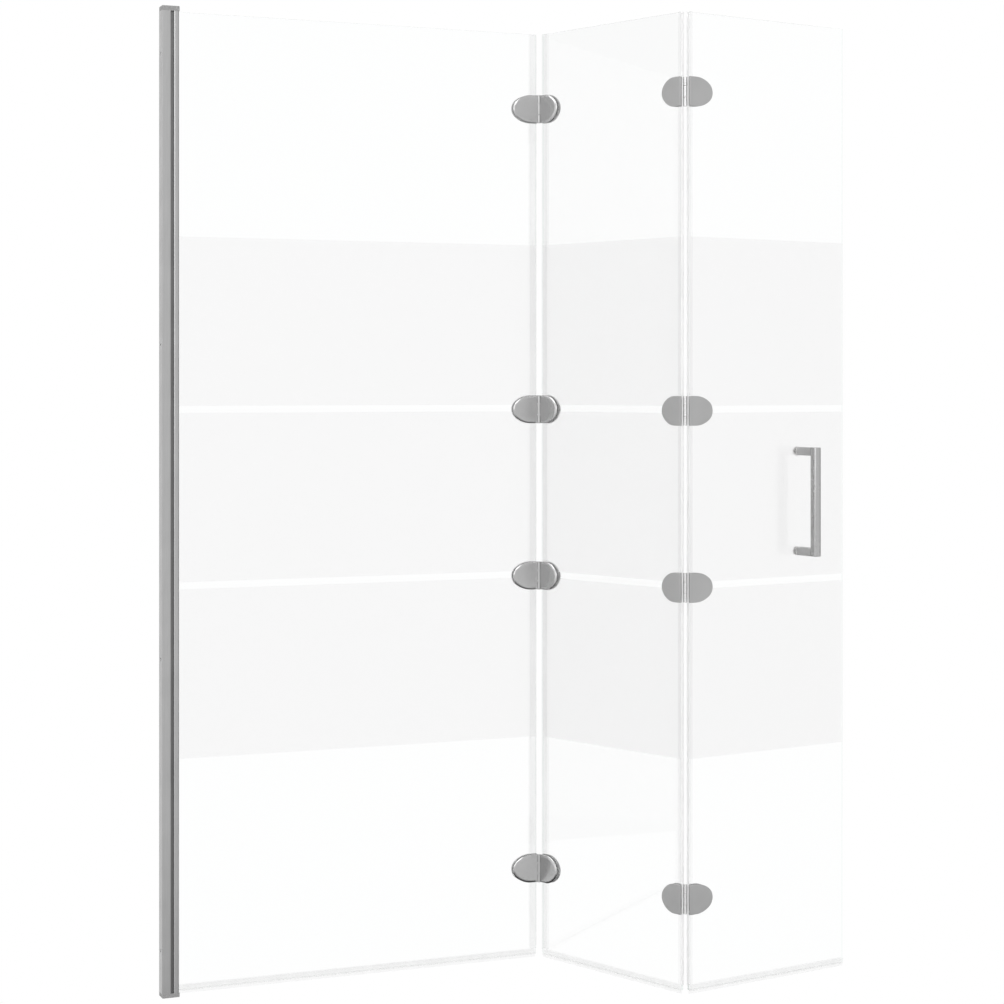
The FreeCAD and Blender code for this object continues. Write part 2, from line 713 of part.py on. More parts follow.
def save_end_panel():
    """Write the end panel: its glass, its seals, its side of the second fold and the handle."""
    body = "end_panel"
    low = fold_2_x + fold_2_glass_gap
    holes = [(handle_x, z, handle_hole_radius) for z in post_heights]
    save("end_glass", body, [pane(low, free_edge_x, [(fold_2_x, FREE_SIDE)], holes)])
    save("end_bottom_seal", body, [bottom_seal(low + bottom_seal_end_gap, free_edge_x)])
    save("end_fold_seal", body, edge_seal(fold_2_x, FREE_SIDE, fold_2_glass_gap, fold_2_seal_leg, True))
    side = save_hinge_side("end", body, fold_2_x, FREE_SIDE, BATH, fold_2_glass_gap, False)
    save_clamping("end", body, [side])
    save("handle_bar", body, [handle_bar()])
    save("handle_posts", body, [handle_post(z) for z in post_heights])
    save("handle_washers", body, [washer for z in post_heights for washer in handle_washers(z)])
    save("handle_rosettes", body, [handle_rosette(z) for z in post_heights])
    save("handle_screws", body, [handle_screw(z) for z in post_heights])


os.makedirs("parts", exist_ok=True)
save_wall_side()
save_middle_panel()
save_end_panel()
save_fold_axis("fold_1", "wall_side", "middle_panel", fold_1_x, ROOM)
save_fold_axis("fold_2", "middle_panel", "end_panel", fold_2_x, BATH)
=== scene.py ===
import logging
import math
from dataclasses import dataclass, field, replace
from enum import Enum

import bmesh
import bpy
import numpy as np
from mathutils import Matrix, Vector


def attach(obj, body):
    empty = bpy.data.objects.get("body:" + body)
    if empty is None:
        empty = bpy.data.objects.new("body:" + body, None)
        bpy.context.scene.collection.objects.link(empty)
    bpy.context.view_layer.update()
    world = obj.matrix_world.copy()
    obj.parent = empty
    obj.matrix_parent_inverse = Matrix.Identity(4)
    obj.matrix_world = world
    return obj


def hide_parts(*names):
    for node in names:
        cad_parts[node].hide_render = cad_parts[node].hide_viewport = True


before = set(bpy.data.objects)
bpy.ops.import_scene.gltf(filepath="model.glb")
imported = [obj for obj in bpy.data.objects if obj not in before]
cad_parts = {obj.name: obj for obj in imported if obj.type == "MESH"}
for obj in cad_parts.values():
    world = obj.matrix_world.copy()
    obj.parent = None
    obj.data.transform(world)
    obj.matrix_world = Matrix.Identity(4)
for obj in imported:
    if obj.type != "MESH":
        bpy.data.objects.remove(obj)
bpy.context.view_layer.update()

LOG = logging.getLogger("folding_screen")
MM = 0.001
MERGE_DISTANCE = 1e-6
FULL_TURN = 2 * math.pi
QUARTER_TURN = math.pi / 2
# A noise lies mostly between these values
PATTERN_MIDDLE = (0.3, 0.7)
# A face looks along an axis when its normal's share of that axis is above this
FACING_SHARE = 0.99

Faces = list[tuple[int, ...]]


class Body(Enum):
    """The three rigid bodies of the screen."""

    WALL_SIDE = "wall_side"
    MIDDLE_PANEL = "middle_panel"
    END_PANEL = "end_panel"


class Side(Enum):
    """The side of a fold that a hinge leaf lies on."""

    WALL = -1
    FREE = 1


class Face(Enum):
    """The two faces of the glass."""

    ROOM = -1
    BATH = 1


class Grain(Enum):
    """The way the drawn lines of a metal run, as the stretch of their pattern along X, Y and Z."""

    UPRIGHT = (1.0, 1.0, 0.012)
    ALONG_POST = (1.0, 0.02, 1.0)
    EVEN = (1.0, 1.0, 1.0)


@dataclass(frozen=True)
class Layout:
    """Sizes of the flat screen that several sub-assemblies share, in millimetres."""

    fold_1_x: float = 580.0
    fold_2_x: float = 870.0
    free_edge_x: float = 1160.0
    axis_offset: float = 4.6
    fold_1_rest_deg: float = 69.6
    fold_2_rest_deg: float = 80.5
    length: float = 1387.0
    half_glass: float = 2.0
    glass_foot: float = 2.0
    hinge_heights: tuple[float, float, float, float] = (130.4, 571.5827, 822.0749, 1274.3)

    def placement(self, body: Body) -> Matrix:
        """Return the matrix from the flat screen to a body's rest pose.

        Args:
            body: the body that the piece rides on.

        Returns:
            A matrix in metres.
        """
        turn = Matrix.Identity(4)
        if body is Body.END_PANEL:
            turn = self._about(self.fold_2_x, self.axis_offset, self.fold_2_rest_deg)
        if body is not Body.WALL_SIDE:
            turn = self._about(self.fold_1_x, -self.axis_offset, -self.fold_1_rest_deg) @ turn
        return turn

    def end_heading(self) -> float:
        """Return the end panel's turn from the flat screen, in radians."""
        return math.radians(self.fold_2_rest_deg - self.fold_1_rest_deg)

    @staticmethod
    def _about(x: float, y: float, degrees: float) -> Matrix:
        """Return a turn about an upright axis through a place in millimetres."""
        place = Matrix.Translation((x * MM, y * MM, 0.0))
        return place @ Matrix.Rotation(math.radians(degrees), 4, "Z") @ place.inverted()


LAYOUT = Layout()


class Nodes:
    """Adds and joins the nodes of one material, world or geometry tree."""

    def __init__(self, tree: bpy.types.NodeTree) -> None:
        """Keep the tree that the nodes go into."""
        self.tree = tree

    def add(self, kind: str, **settings: object) -> bpy.types.Node:
        """Add a node.

        Args:
            kind: the node's type name.
            settings: properties of the node and their values.

        Returns:
            The new node.
        """
        node = self.tree.nodes.new(kind)
        for key, value in settings.items():
            setattr(node, key, value)
        return node

    def join(self, source: bpy.types.NodeSocket, target: bpy.types.NodeSocket) -> None:
        """Link an output to an input."""
        self.tree.links.new(source, target)

    def span(self, source: bpy.types.NodeSocket, low: float, high: float) -> bpy.types.NodeSocket:
        """Stretch a pattern's middle range to run between two values.

        Args:
            source: the pattern's output.
            low: the value at the pattern's dark end.
            high: the value at its light end.

        Returns:
            The output that carries the stretched value.
        """
        stretch = self.add("ShaderNodeMapRange")
        stretch.inputs["From Min"].default_value, stretch.inputs["From Max"].default_value = PATTERN_MIDDLE
        stretch.inputs["To Min"].default_value = low
        stretch.inputs["To Max"].default_value = high
        self.join(source, stretch.inputs["Value"])
        return stretch.outputs["Result"]

    def pattern(self, scale: float, stretch: tuple[float, float, float] = (1.0, 1.0, 1.0),
                heading: float = 0.0, detail: float = 3.0) -> bpy.types.NodeSocket:
        """Add a noise on Object coordinates.

        Args:
            scale: cells per metre.
            stretch: how the cells are drawn out along X, Y and Z.
            heading: turn of the pattern about Z, in radians.
            detail: the number of finer layers.

        Returns:
            The noise's value output.
        """
        place = self.add("ShaderNodeTexCoord")
        turn = self.add("ShaderNodeMapping")
        turn.inputs["Rotation"].default_value = (0.0, 0.0, -heading)
        turn.inputs["Scale"].default_value = stretch
        self.join(place.outputs["Object"], turn.inputs["Vector"])
        noise = self.add("ShaderNodeTexNoise")
        noise.inputs["Scale"].default_value = scale
        noise.inputs["Detail"].default_value = detail
        self.join(turn.outputs["Vector"], noise.inputs["Vector"])
        return noise.outputs["Fac"]

    def tones(self, source: bpy.types.NodeSocket, low: tuple[float, float, float],
              high: tuple[float, float, float]) -> bpy.types.NodeSocket:
        """Turn a pattern into a colour between two tones.

        Args:
            source: the pattern's output.
            low: the linear colour at its dark end.
            high: the linear colour at its light end.

        Returns:
            The colour output.
        """
        ramp = self.add("ShaderNodeValToRGB")
        for element, position, tone in zip(ramp.color_ramp.elements, PATTERN_MIDDLE, (low, high)):
            element.position = position
            element.color = (*tone, 1.0)
        self.join(source, ramp.inputs["Fac"])
        return ramp.outputs["Color"]

    def bump(self, source: bpy.types.NodeSocket, depth_mm: float, strength: float) -> bpy.types.NodeSocket:
        """Turn a pattern into a relief.

        Args:
            source: the pattern's output.
            depth_mm: the relief's height.
            strength: how much of it shows.

        Returns:
            The normal output.
        """
        relief = self.add("ShaderNodeBump")
        relief.inputs["Distance"].default_value = depth_mm * MM
        relief.inputs["Strength"].default_value = strength
        self.join(source, relief.inputs["Height"])
        return relief.outputs["Normal"]


def grey(level: float) -> tuple[float, float, float]:
    """Return a linear grey."""
    return (level, level, level)


def new_material(name: str) -> tuple[bpy.types.Material, Nodes, bpy.types.Node]:
    """Start a material.

    Args:
        name: the finish's name.

    Returns:
        The material, its nodes and its shader.
    """
    material = bpy.data.materials.new(name)
    material.use_nodes = True
    return material, Nodes(material.node_tree), material.node_tree.nodes["Principled BSDF"]


@dataclass(frozen=True)
class MetalFinish:
    """A bare, plated or anodised metal, with lines drawn along one way and faint cloudy wear."""

    name: str
    tone: tuple[float, float, float]
    roughness: float
    grain: Grain = Grain.EVEN
    line_scale: float = 2600.0
    cloud_scale: float = 28.0
    tone_spread: float = 0.06
    roughness_spread: float = 0.05
    line_depth_mm: float = 0.01
    line_strength: float = 0.12
    heading: float = 0.0

    def material(self) -> bpy.types.Material:
        """Build the material.

        Returns:
            The material, named for this finish.
        """
        material, nodes, shader = new_material(self.name)
        shader.inputs["Metallic"].default_value = 1.0
        lines = nodes.pattern(self.line_scale, self.grain.value, self.heading, detail=4.0)
        cloud = nodes.pattern(self.cloud_scale, detail=5.0)
        low = tuple(value * (1.0 - self.tone_spread) for value in self.tone)
        high = tuple(value * (1.0 + self.tone_spread) for value in self.tone)
        nodes.join(nodes.tones(lines, low, high), shader.inputs["Base Color"])
        rough = nodes.add("ShaderNodeMath", operation="ADD")
        spread = self.roughness_spread
        nodes.join(nodes.span(cloud, self.roughness - spread, self.roughness + spread), rough.inputs[0])
        nodes.join(nodes.span(lines, -spread / 2, spread / 2), rough.inputs[1])
        nodes.join(rough.outputs["Value"], shader.inputs["Roughness"])
        nodes.join(nodes.bump(lines, self.line_depth_mm, self.line_strength), shader.inputs["Normal"])
        return material


@dataclass(frozen=True)
class MouldedFinish:
    """A moulded plastic or rubber, opaque, with a fine grain and slightly cloudy colour."""

    name: str
    tone: tuple[float, float, float]
    roughness: float
    grain_scale: float = 1800.0
    grain_depth_mm: float = 0.03
    grain_strength: float = 0.25
    cloud_scale: float = 45.0
    tone_spread: float = 0.06
    roughness_spread: float = 0.06

    def material(self) -> bpy.types.Material:
        """Build the material.

        Returns:
            The material, named for this finish.
        """
        material, nodes, shader = new_material(self.name)
        grain = nodes.pattern(self.grain_scale, detail=2.0)
        cloud = nodes.pattern(self.cloud_scale, detail=4.0)
        low = tuple(value * (1.0 - self.tone_spread) for value in self.tone)
        high = tuple(value * (1.0 + self.tone_spread) for value in self.tone)
        nodes.join(nodes.tones(cloud, low, high), shader.inputs["Base Color"])
        smooth, rough = self.roughness - self.roughness_spread, self.roughness + self.roughness_spread
        nodes.join(nodes.span(grain, smooth, rough), shader.inputs["Roughness"])
        nodes.join(nodes.bump(grain, self.grain_depth_mm, self.grain_strength), shader.inputs["Normal"])
        return material


@dataclass(frozen=True)
class SealFinish:
    """A clear soft strip, slightly milky, with a soft gloss."""

    name: str
    tone: tuple[float, float, float]
    roughness: float
    clearness: float
    bend: float = 1.03
    gloss: float = 0.25
    gloss_roughness: float = 0.2
    cloud_scale: float = 60.0
    cloud_stretch: tuple[float, float, float] = (1.0, 1.0, 0.2)
    tone_spread: float = 0.03
    roughness_spread: float = 0.05

    def material(self) -> bpy.types.Material:
        """Build the material.

        Returns:
            The material, named for this finish.
        """
        material, nodes, shader = new_material(self.name)
        shader.inputs["Transmission Weight"].default_value = self.clearness
        shader.inputs["IOR"].default_value = self.bend
        shader.inputs["Coat Weight"].default_value = self.gloss
        shader.inputs["Coat Roughness"].default_value = self.gloss_roughness
        cloud = nodes.pattern(self.cloud_scale, self.cloud_stretch)
        low = tuple(value * (1.0 - self.tone_spread) for value in self.tone)
        nodes.join(nodes.tones(cloud, low, self.tone), shader.inputs["Base Color"])
        smooth, rough = self.roughness - self.roughness_spread, self.roughness + self.roughness_spread
        nodes.join(nodes.span(cloud, smooth, rough), shader.inputs["Roughness"])
        return material


@dataclass(frozen=True)
class GlassFinish:
    """A glass surface: polished, matt outside where its edge is ground, or etched under a polished skin."""

    name: str
    tone: tuple[float, float, float]
    roughness: float
    etch_spread: float = 0.0
    etch_scale: float = 2400.0
    skin: float = 0.0
    skin_roughness: float = 0.02
    outer_clearness: float = 1.0
    bend: float = 1.04

    def material(self) -> bpy.types.Material:
        """Build the material.

        Returns:
            The material, named for this finish.
        """
        material, nodes, shader = new_material(self.name)
        shader.inputs["Base Color"].default_value = (*self.tone, 1.0)
        shader.inputs["Transmission Weight"].default_value = 1.0
        shader.inputs["IOR"].default_value = self.bend
        shader.inputs["Roughness"].default_value = self.roughness
        shader.inputs["Coat Weight"].default_value = self.skin
        shader.inputs["Coat Roughness"].default_value = self.skin_roughness
        if self.etch_spread:
            etch = nodes.pattern(self.etch_scale, detail=2.0)
            low, high = self.roughness - self.etch_spread, self.roughness + self.etch_spread
            nodes.join(nodes.span(etch, low, high), shader.inputs["Roughness"])
        if self.outer_clearness < 1.0:
            side = nodes.add("ShaderNodeNewGeometry")
            clear = nodes.add("ShaderNodeMapRange")
            clear.inputs["To Min"].default_value = self.outer_clearness
            clear.inputs["To Max"].default_value = 1.0
            nodes.join(side.outputs["Backfacing"], clear.inputs["Value"])
            nodes.join(clear.outputs["Result"], shader.inputs["Transmission Weight"])
        return material


class Palette:
    """Every finish of the screen, each made once."""

    def __init__(self) -> None:
        """Build all the materials."""
        self.clear_glass = GlassFinish("clear_glass", (0.992, 0.996, 0.995), 0.0, skin=1.0).material()
        self.etched_glass = GlassFinish(
            "etched_glass", grey(0.948), 0.3, etch_spread=0.05, skin=1.0, bend=1.25).material()
        self.glass_edge = GlassFinish(
            "ground_glass_edge", (0.9, 0.95, 0.93), 0.15, etch_spread=0.03, outer_clearness=0.1).material()
        self.profile = MetalFinish("satin_anodised_profile", grey(0.455), 0.34, Grain.UPRIGHT).material()
        # Painted shade: a dark copy of the profile metal for the neck inside the groove, where shade falls.
        self.neck = MetalFinish("painted_shade_profile_neck", grey(0.2), 0.5, Grain.UPRIGHT).material()
        polished = MetalFinish(
            "polished_hinge_leaf", grey(0.46), 0.17, line_scale=300.0, tone_spread=0.02,
            roughness_spread=0.03, line_strength=0.03,
        )
        self.leaf = polished.material()
        # Painted light: a lighter copy of the polished leaf metal for the knuckles, so the gap between the
        # covers at the second fold reads light.
        rolled = replace(polished, name="knuckle_painted_light", tone=grey(0.78), roughness=0.2)
        self.knuckle = rolled.material()
        self.cover = MetalFinish("satin_hinge_cover", grey(0.465), 0.42, line_scale=3200.0).material()
        self.handle_bar = MetalFinish(
            "brushed_handle_bar", grey(0.45), 0.29, Grain.UPRIGHT, tone_spread=0.03, line_strength=0.04,
        ).material()
        self.handle_post = MetalFinish(
            "brushed_handle_post", grey(0.51), 0.34, Grain.ALONG_POST, heading=LAYOUT.end_heading(),
        ).material()
        self.plate = MetalFinish("mill_clamp_plate", grey(0.5), 0.45, line_scale=1800.0).material()
        self.steel = MetalFinish("bright_steel", grey(0.72), 0.24, line_scale=2000.0).material()
        self.cap = MouldedFinish("grey_end_cap", grey(0.3), 0.45).material()
        self.white = MouldedFinish("white_bush", (0.9, 0.9, 0.89), 0.4, tone_spread=0.03).material()
        self.gasket = MouldedFinish("pale_hinge_gasket", grey(0.6), 0.5).material()
        self.glazing = MouldedFinish("grey_glazing_strip", grey(0.35), 0.55).material()
        self.seal = SealFinish("clear_fold_seal", grey(0.968), 0.2, 1.0).material()
        self.foot_seal = SealFinish("clear_foot_seal", grey(0.962), 0.2, 1.0).material()
        self.seal_web = SealFinish("milky_seal_web", grey(0.985), 0.3, 0.1).material()
        self.drilled = MetalFinish("bare_drilled_hole", grey(0.9), 0.6).material()


class Shells:
    """Closed shells in millimetres, gathered for one mesh."""

    def __init__(self) -> None:
        """Start with no shell."""
        self.points: list[np.ndarray] = []
        self.faces: Faces = []
        self.count = 0

    def loft(self, rows: list[np.ndarray], ring: bool = False) -> None:
        """Join closed rows of points into a shell.

        Args:
            rows: the rows, each with as many points as the others.
            ring: true joins the last row to the first, false caps both.
        """
        width = len(rows[0])
        spans = len(rows) if ring else len(rows) - 1
        for row in range(spans):
            low = self.count + row * width
            high = self.count + (row + 1) % len(rows) * width
            for column in range(width):
                beside = (column + 1) % width
                self.faces.append((low + column, low + beside, high + beside, high + column))
        if not ring:
            last = self.count + (len(rows) - 1) * width
            self.faces.append(tuple(range(self.count, self.count + width)))
            self.faces.append(tuple(range(last, last + width)))
        self.points += rows
        self.count += len(rows) * width

    def object(self, name: str) -> bpy.types.Object:
        """Make the mesh object.

        Args:
            name: the object's name.

        Returns:
            An object in the scene, in metres.
        """
        return mesh_object(name, np.vstack(self.points), [], self.faces)


def mesh_object(name: str, points: np.ndarray, edges: list[tuple[int, int]],
                faces: Faces) -> bpy.types.Object:
    """Make a mesh object.

    Args:
        name: the object's name.
        points: its vertices in millimetres.
        edges: its loose edges.
        faces: its faces.

    Returns:
        An object in the scene, in metres.
    """
    mesh = bpy.data.meshes.new(name)
    mesh.from_pydata((np.asarray(points, float) * MM).tolist(), edges, faces)
    mesh.update()
    made = bpy.data.objects.new(name, mesh)
    bpy.context.scene.collection.objects.link(made)
    return made


def bake(host: bpy.types.Object) -> None:
    """Turn the result of an object's modifiers into its plain mesh."""
    bpy.context.view_layer.update()
    evaluated = host.evaluated_get(bpy.context.evaluated_depsgraph_get())
    mesh = bpy.data.meshes.new_from_object(evaluated)
    host.modifiers.clear()
    host.data = mesh


def close_up(host: bpy.types.Object, sharp_deg: float) -> None:
    """Merge doubles, turn the faces outwards and smooth the gentle edges.

    Args:
        host: the object.
        sharp_deg: edges that turn by more than this stay sharp, and 0 leaves every face flat.
    """
    work = bmesh.new()
    work.from_mesh(host.data)
    bmesh.ops.remove_doubles(work, verts=work.verts, dist=MERGE_DISTANCE)
    bmesh.ops.recalc_face_normals(work, faces=work.faces)
    work.to_mesh(host.data)
    work.free()
    if not sharp_deg:
        host.data.shade_flat()
        return
    host.data.shade_smooth()
    host.data.set_sharp_from_angle(angle=math.radians(sharp_deg))


def drill(host: bpy.types.Object, cutter: bpy.types.Object) -> None:
    """Cut the cutter's shells out of an object, and delete the cutter.

    Args:
        host: the object that gets the holes.
        cutter: the closed shells to cut with.
    """
    close_up(host, 0.0)
    close_up(cutter, 0.0)
    cut = host.modifiers.new("holes", "BOOLEAN")
    cut.operation = "DIFFERENCE"
    cut.solver = "EXACT"
    cut.object = cutter
    bake(host)
    bpy.data.objects.remove(cutter)


def join_in(host: bpy.types.Object, extra: bpy.types.Object) -> None:
    """Add another object's shells to an object's mesh, and delete the other.

    Args:
        host: the object that gets the shells.
        extra: the object that gives them.
    """
    work = bmesh.new()
    work.from_mesh(host.data)
    work.from_mesh(extra.data)
    work.to_mesh(host.data)
    work.free()
    bpy.data.objects.remove(extra)


def settle(piece: bpy.types.Object, body: Body, nodes: list[str], sharp_deg: float = 32.0) -> None:
    """Set a flat-built piece in its rest pose, and hand it to its body.

    Args:
        piece: the piece, built in the flat screen.
        body: the body it rides on.
        nodes: the CAD nodes that it stands for.
        sharp_deg: edges that turn by more than this stay sharp, and 0 leaves every face flat.
    """
    close_up(piece, sharp_deg)
    piece.data.transform(LAYOUT.placement(body))
    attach(piece, body.value)
    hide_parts(*nodes)
    LOG.info("%s rides on %s with %d faces", piece.name, body.value, len(piece.data.polygons))


def paint(node: str, material: bpy.types.Material) -> None:
    """Give a CAD node that stays in view its finish."""
    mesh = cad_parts[node].data
    mesh.materials.clear()
    mesh.materials.append(material)
    LOG.info("%s keeps its shape and takes %s", node, material.name)


def rounded(corners: list[tuple[float, float, float]], steps: int = 5) -> np.ndarray:
    """Round the corners of a closed outline.

    Args:
        corners: x, y and radius of each corner.
        steps: the chords of each arc.

    Returns:
        The outline's points.
    """
    points: list[tuple[float, float]] = []
    for index, (x, y, radius) in enumerate(corners):
        here = np.array((x, y))
        before = np.array(corners[index - 1][:2]) - here
        after = np.array(corners[(index + 1) % len(corners)][:2]) - here
        before = before / np.linalg.norm(before)
        after = after / np.linalg.norm(after)
        if radius <= 0:
            points.append((x, y))
            continue
        half = math.acos(max(-1.0, min(1.0, float(before @ after)))) / 2
        middle = (before + after) / np.linalg.norm(before + after)
        centre = here + middle * radius / math.sin(half)
        start = here + before * radius / math.tan(half) - centre
        stop = here + after * radius / math.tan(half) - centre
        angle = math.atan2(start[0] * stop[1] - start[1] * stop[0], float(start @ stop))
        for step in range(steps + 1):
            part = angle * step / steps
            turned = (start[0] * math.cos(part) - start[1] * math.sin(part),
                      start[0] * math.sin(part) + start[1] * math.cos(part))
            points.append((centre[0] + turned[0], centre[1] + turned[1]))
    return np.array(points)


def circle_row(radius: float, x: float, y: float, z: float, count: int = 36, flats: int = 0) -> np.ndarray:
    """Return a ring of points about an axis along Y.

    Args:
        radius: the ring's radius, or half the width across its flats.
        x: the axis's place along X.
        y: the ring's place along the axis.
        z: the axis's height.
        count: the number of points.
        flats: the number of flats, or 0 for a circle.

    Returns:
        The points.
    """
    turns = np.arange(count) * FULL_TURN / count
    reach = np.full(count, radius)
    if flats:
        sector = FULL_TURN / flats
        reach = radius / np.cos((turns + sector / 2) % sector - sector / 2)
    return np.column_stack((x + reach * np.cos(turns), np.full(count, y), z + reach * np.sin(turns)))


class Tree:
    """A Geometry Nodes tree with named inputs."""

    def __init__(self, name: str) -> None:
        """Start a tree with a geometry input and output.

        Args:
            name: the tree's name.
        """
        self.group = bpy.data.node_groups.new(name, "GeometryNodeTree")
        self.nodes = Nodes(self.group)
        self.socket("Geometry", "NodeSocketGeometry")
        self.socket("Material", "NodeSocketMaterial")
        self.group.interface.new_socket(name="Geometry", in_out="OUTPUT", socket_type="NodeSocketGeometry")
        self.source = self.nodes.add("NodeGroupInput")

    def socket(self, name: str, kind: str) -> None:
        """Add a named input."""
        self.group.interface.new_socket(name=name, in_out="INPUT", socket_type=kind)

    def close(self, result: bpy.types.NodeSocket) -> None:
        """Realize the result, set its material and send it out.

        Args:
            result: the geometry output of the tree's last own node.
        """
        real = self.nodes.add("GeometryNodeRealizeInstances")
        dress = self.nodes.add("GeometryNodeSetMaterial")
        end = self.nodes.add("NodeGroupOutput")
        self.nodes.join(result, real.inputs["Geometry"])
        self.nodes.join(real.outputs["Geometry"], dress.inputs["Geometry"])
        self.nodes.join(self.source.outputs["Material"], dress.inputs["Material"])
        self.nodes.join(dress.outputs["Geometry"], end.inputs["Geometry"])

    def run(self, host: bpy.types.Object, values: dict[str, object]) -> bpy.types.Object:
        """Run the tree on an object and keep the result as its plain mesh.

        Args:
            host: the object that gives the tree its geometry.
            values: the named inputs.

        Returns:
            The same object with its new mesh.
        """
        modifier = host.modifiers.new(self.group.name, "NODES")
        modifier.node_group = self.group
        for item in self.group.interface.items_tree:
            if item.in_out == "INPUT" and item.name in values:
                modifier[item.identifier] = values[item.name]
        bake(host)
        host.data.materials.clear()
        host.data.materials.append(values["Material"])
        for polygon in host.data.polygons:
            polygon.material_index = 0
        return host


class StripTree(Tree):
    """Draws a closed section along every run of a path, short of each run's ends by a gap."""

    def __init__(self) -> None:
        """Build the tree."""
        super().__init__("drawn_strip")
        self.socket("Section", "NodeSocketObject")
        self.socket("End Gap", "NodeSocketFloat")
        nodes = self.nodes
        path = nodes.add("GeometryNodeMeshToCurve")
        nodes.join(self.source.outputs["Geometry"], path.inputs["Mesh"])
        length = nodes.add("GeometryNodeSplineLength")
        stop = nodes.add("ShaderNodeMath", operation="SUBTRACT")
        nodes.join(length.outputs["Length"], stop.inputs[0])
        nodes.join(self.source.outputs["End Gap"], stop.inputs[1])
        trim = nodes.add("GeometryNodeTrimCurve", mode="LENGTH")
        nodes.join(path.outputs["Curve"], trim.inputs["Curve"])
        ends = [socket for socket in trim.inputs if socket.enabled and socket.type == "VALUE"]
        nodes.join(self.source.outputs["End Gap"], ends[0])
        nodes.join(stop.outputs["Value"], ends[1])
        info = nodes.add("GeometryNodeObjectInfo", transform_space="ORIGINAL")
        nodes.join(self.source.outputs["Section"], info.inputs["Object"])
        outline = nodes.add("GeometryNodeMeshToCurve")
        nodes.join(info.outputs["Geometry"], outline.inputs["Mesh"])
        sweep = nodes.add("GeometryNodeCurveToMesh")
        sweep.inputs["Fill Caps"].default_value = True
        nodes.join(trim.outputs["Curve"], sweep.inputs["Curve"])
        nodes.join(outline.outputs["Curve"], sweep.inputs["Profile Curve"])
        self.close(sweep.outputs["Mesh"])

    def draw(self, name: str, outline: np.ndarray, runs: list[tuple[Vector, Vector]], gap: float,
             material: bpy.types.Material) -> bpy.types.Object:
        """Draw one strip.

        Args:
            name: the piece's name.
            outline: the section's points across the path.
            runs: the start and end of each run.
            gap: how far each run stops short of its ends.
            material: the strip's finish.

        Returns:
            The strip as a plain mesh object.
        """
        count = len(outline)
        flat = np.column_stack((outline, np.zeros(count)))
        loop = [(index, (index + 1) % count) for index in range(count)]
        section = mesh_object(name + "_section", flat, loop, [])
        ends = np.array([tuple(point) for run in runs for point in run])
        path = mesh_object(name, ends, [(index, index + 1) for index in range(0, len(ends), 2)], [])
        self.run(path, {"Section": section, "End Gap": gap * MM, "Material": material})
        bpy.data.objects.remove(section)
        return path


class HingeRowTree(Tree):
    """Sets one piece at the four hinge heights."""

    NAMES = ("Foot Hinge", "Lower Hinge", "Upper Hinge", "Top Hinge")

    def __init__(self) -> None:
        """Build the tree."""
        super().__init__("hinge_row")
        nodes = self.nodes
        index = nodes.add("GeometryNodeInputIndex")
        choose = nodes.add("GeometryNodeIndexSwitch", data_type="VECTOR")
        while len(choose.index_switch_items) < len(self.NAMES):
            choose.index_switch_items.new()
        nodes.join(index.outputs["Index"], choose.inputs["Index"])
        for number, name in enumerate(self.NAMES):
            self.socket(name, "NodeSocketFloat")
            height = nodes.add("ShaderNodeCombineXYZ")
            nodes.join(self.source.outputs[name], height.inputs["Z"])
            nodes.join(height.outputs["Vector"], choose.inputs[str(number)])
        places = nodes.add("GeometryNodePoints")
        places.inputs["Count"].default_value = len(self.NAMES)
        nodes.join(choose.outputs["Output"], places.inputs["Position"])
        row = nodes.add("GeometryNodeInstanceOnPoints")
        nodes.join(places.outputs["Points"], row.inputs["Points"])
        nodes.join(self.source.outputs["Geometry"], row.inputs["Instance"])
        self.close(row.outputs["Instances"])

    def repeat(self, piece: bpy.types.Object, material: bpy.types.Material) -> bpy.types.Object:
        """Repeat a piece at the hinge heights.

        Args:
            piece: the piece, built at height 0.
            material: its finish.

        Returns:
            The same object with all four copies.
        """
        values: dict[str, object] = {"Material": material}
        for name, height in zip(self.NAMES, LAYOUT.hinge_heights):
            values[name] = height * MM
        return self.run(piece, values)


class EvenRowTree(Tree):
    """Sets one piece at even steps up the screen."""

    def __init__(self) -> None:
        """Build the tree."""
        super().__init__("even_row")
        self.socket("Count", "NodeSocketInt")
        self.socket("First", "NodeSocketVector")
        self.socket("Step", "NodeSocketVector")
        nodes = self.nodes
        line = nodes.add("GeometryNodeMeshLine", mode="OFFSET")
        nodes.join(self.source.outputs["Count"], line.inputs["Count"])
        nodes.join(self.source.outputs["First"], line.inputs["Start Location"])
        nodes.join(self.source.outputs["Step"], line.inputs["Offset"])
        row = nodes.add("GeometryNodeInstanceOnPoints")
        nodes.join(line.outputs["Mesh"], row.inputs["Points"])
        nodes.join(self.source.outputs["Geometry"], row.inputs["Instance"])
        self.close(row.outputs["Instances"])

    def repeat(self, piece: bpy.types.Object, heights: list[float],
               material: bpy.types.Material) -> bpy.types.Object:
        """Repeat a piece at evenly spaced heights.

        Args:
            piece: the piece, built at height 0.
            heights: the heights in millimetres.
            material: its finish.

        Returns:
            The same object with all its copies.
        """
        step = (heights[1] - heights[0]) * MM
        return self.run(piece, {
            "Count": len(heights), "First": (0.0, 0.0, heights[0] * MM), "Step": (0.0, 0.0, step),
            "Material": material,
        })


class Workshop:
    """The finishes and trees that the sub-assemblies share."""

    def __init__(self) -> None:
        """Make the palette and the trees."""
        self.palette = Palette()
        self.strip = StripTree()
        self.hinge_row = HingeRowTree()
        self.even_row = EvenRowTree()


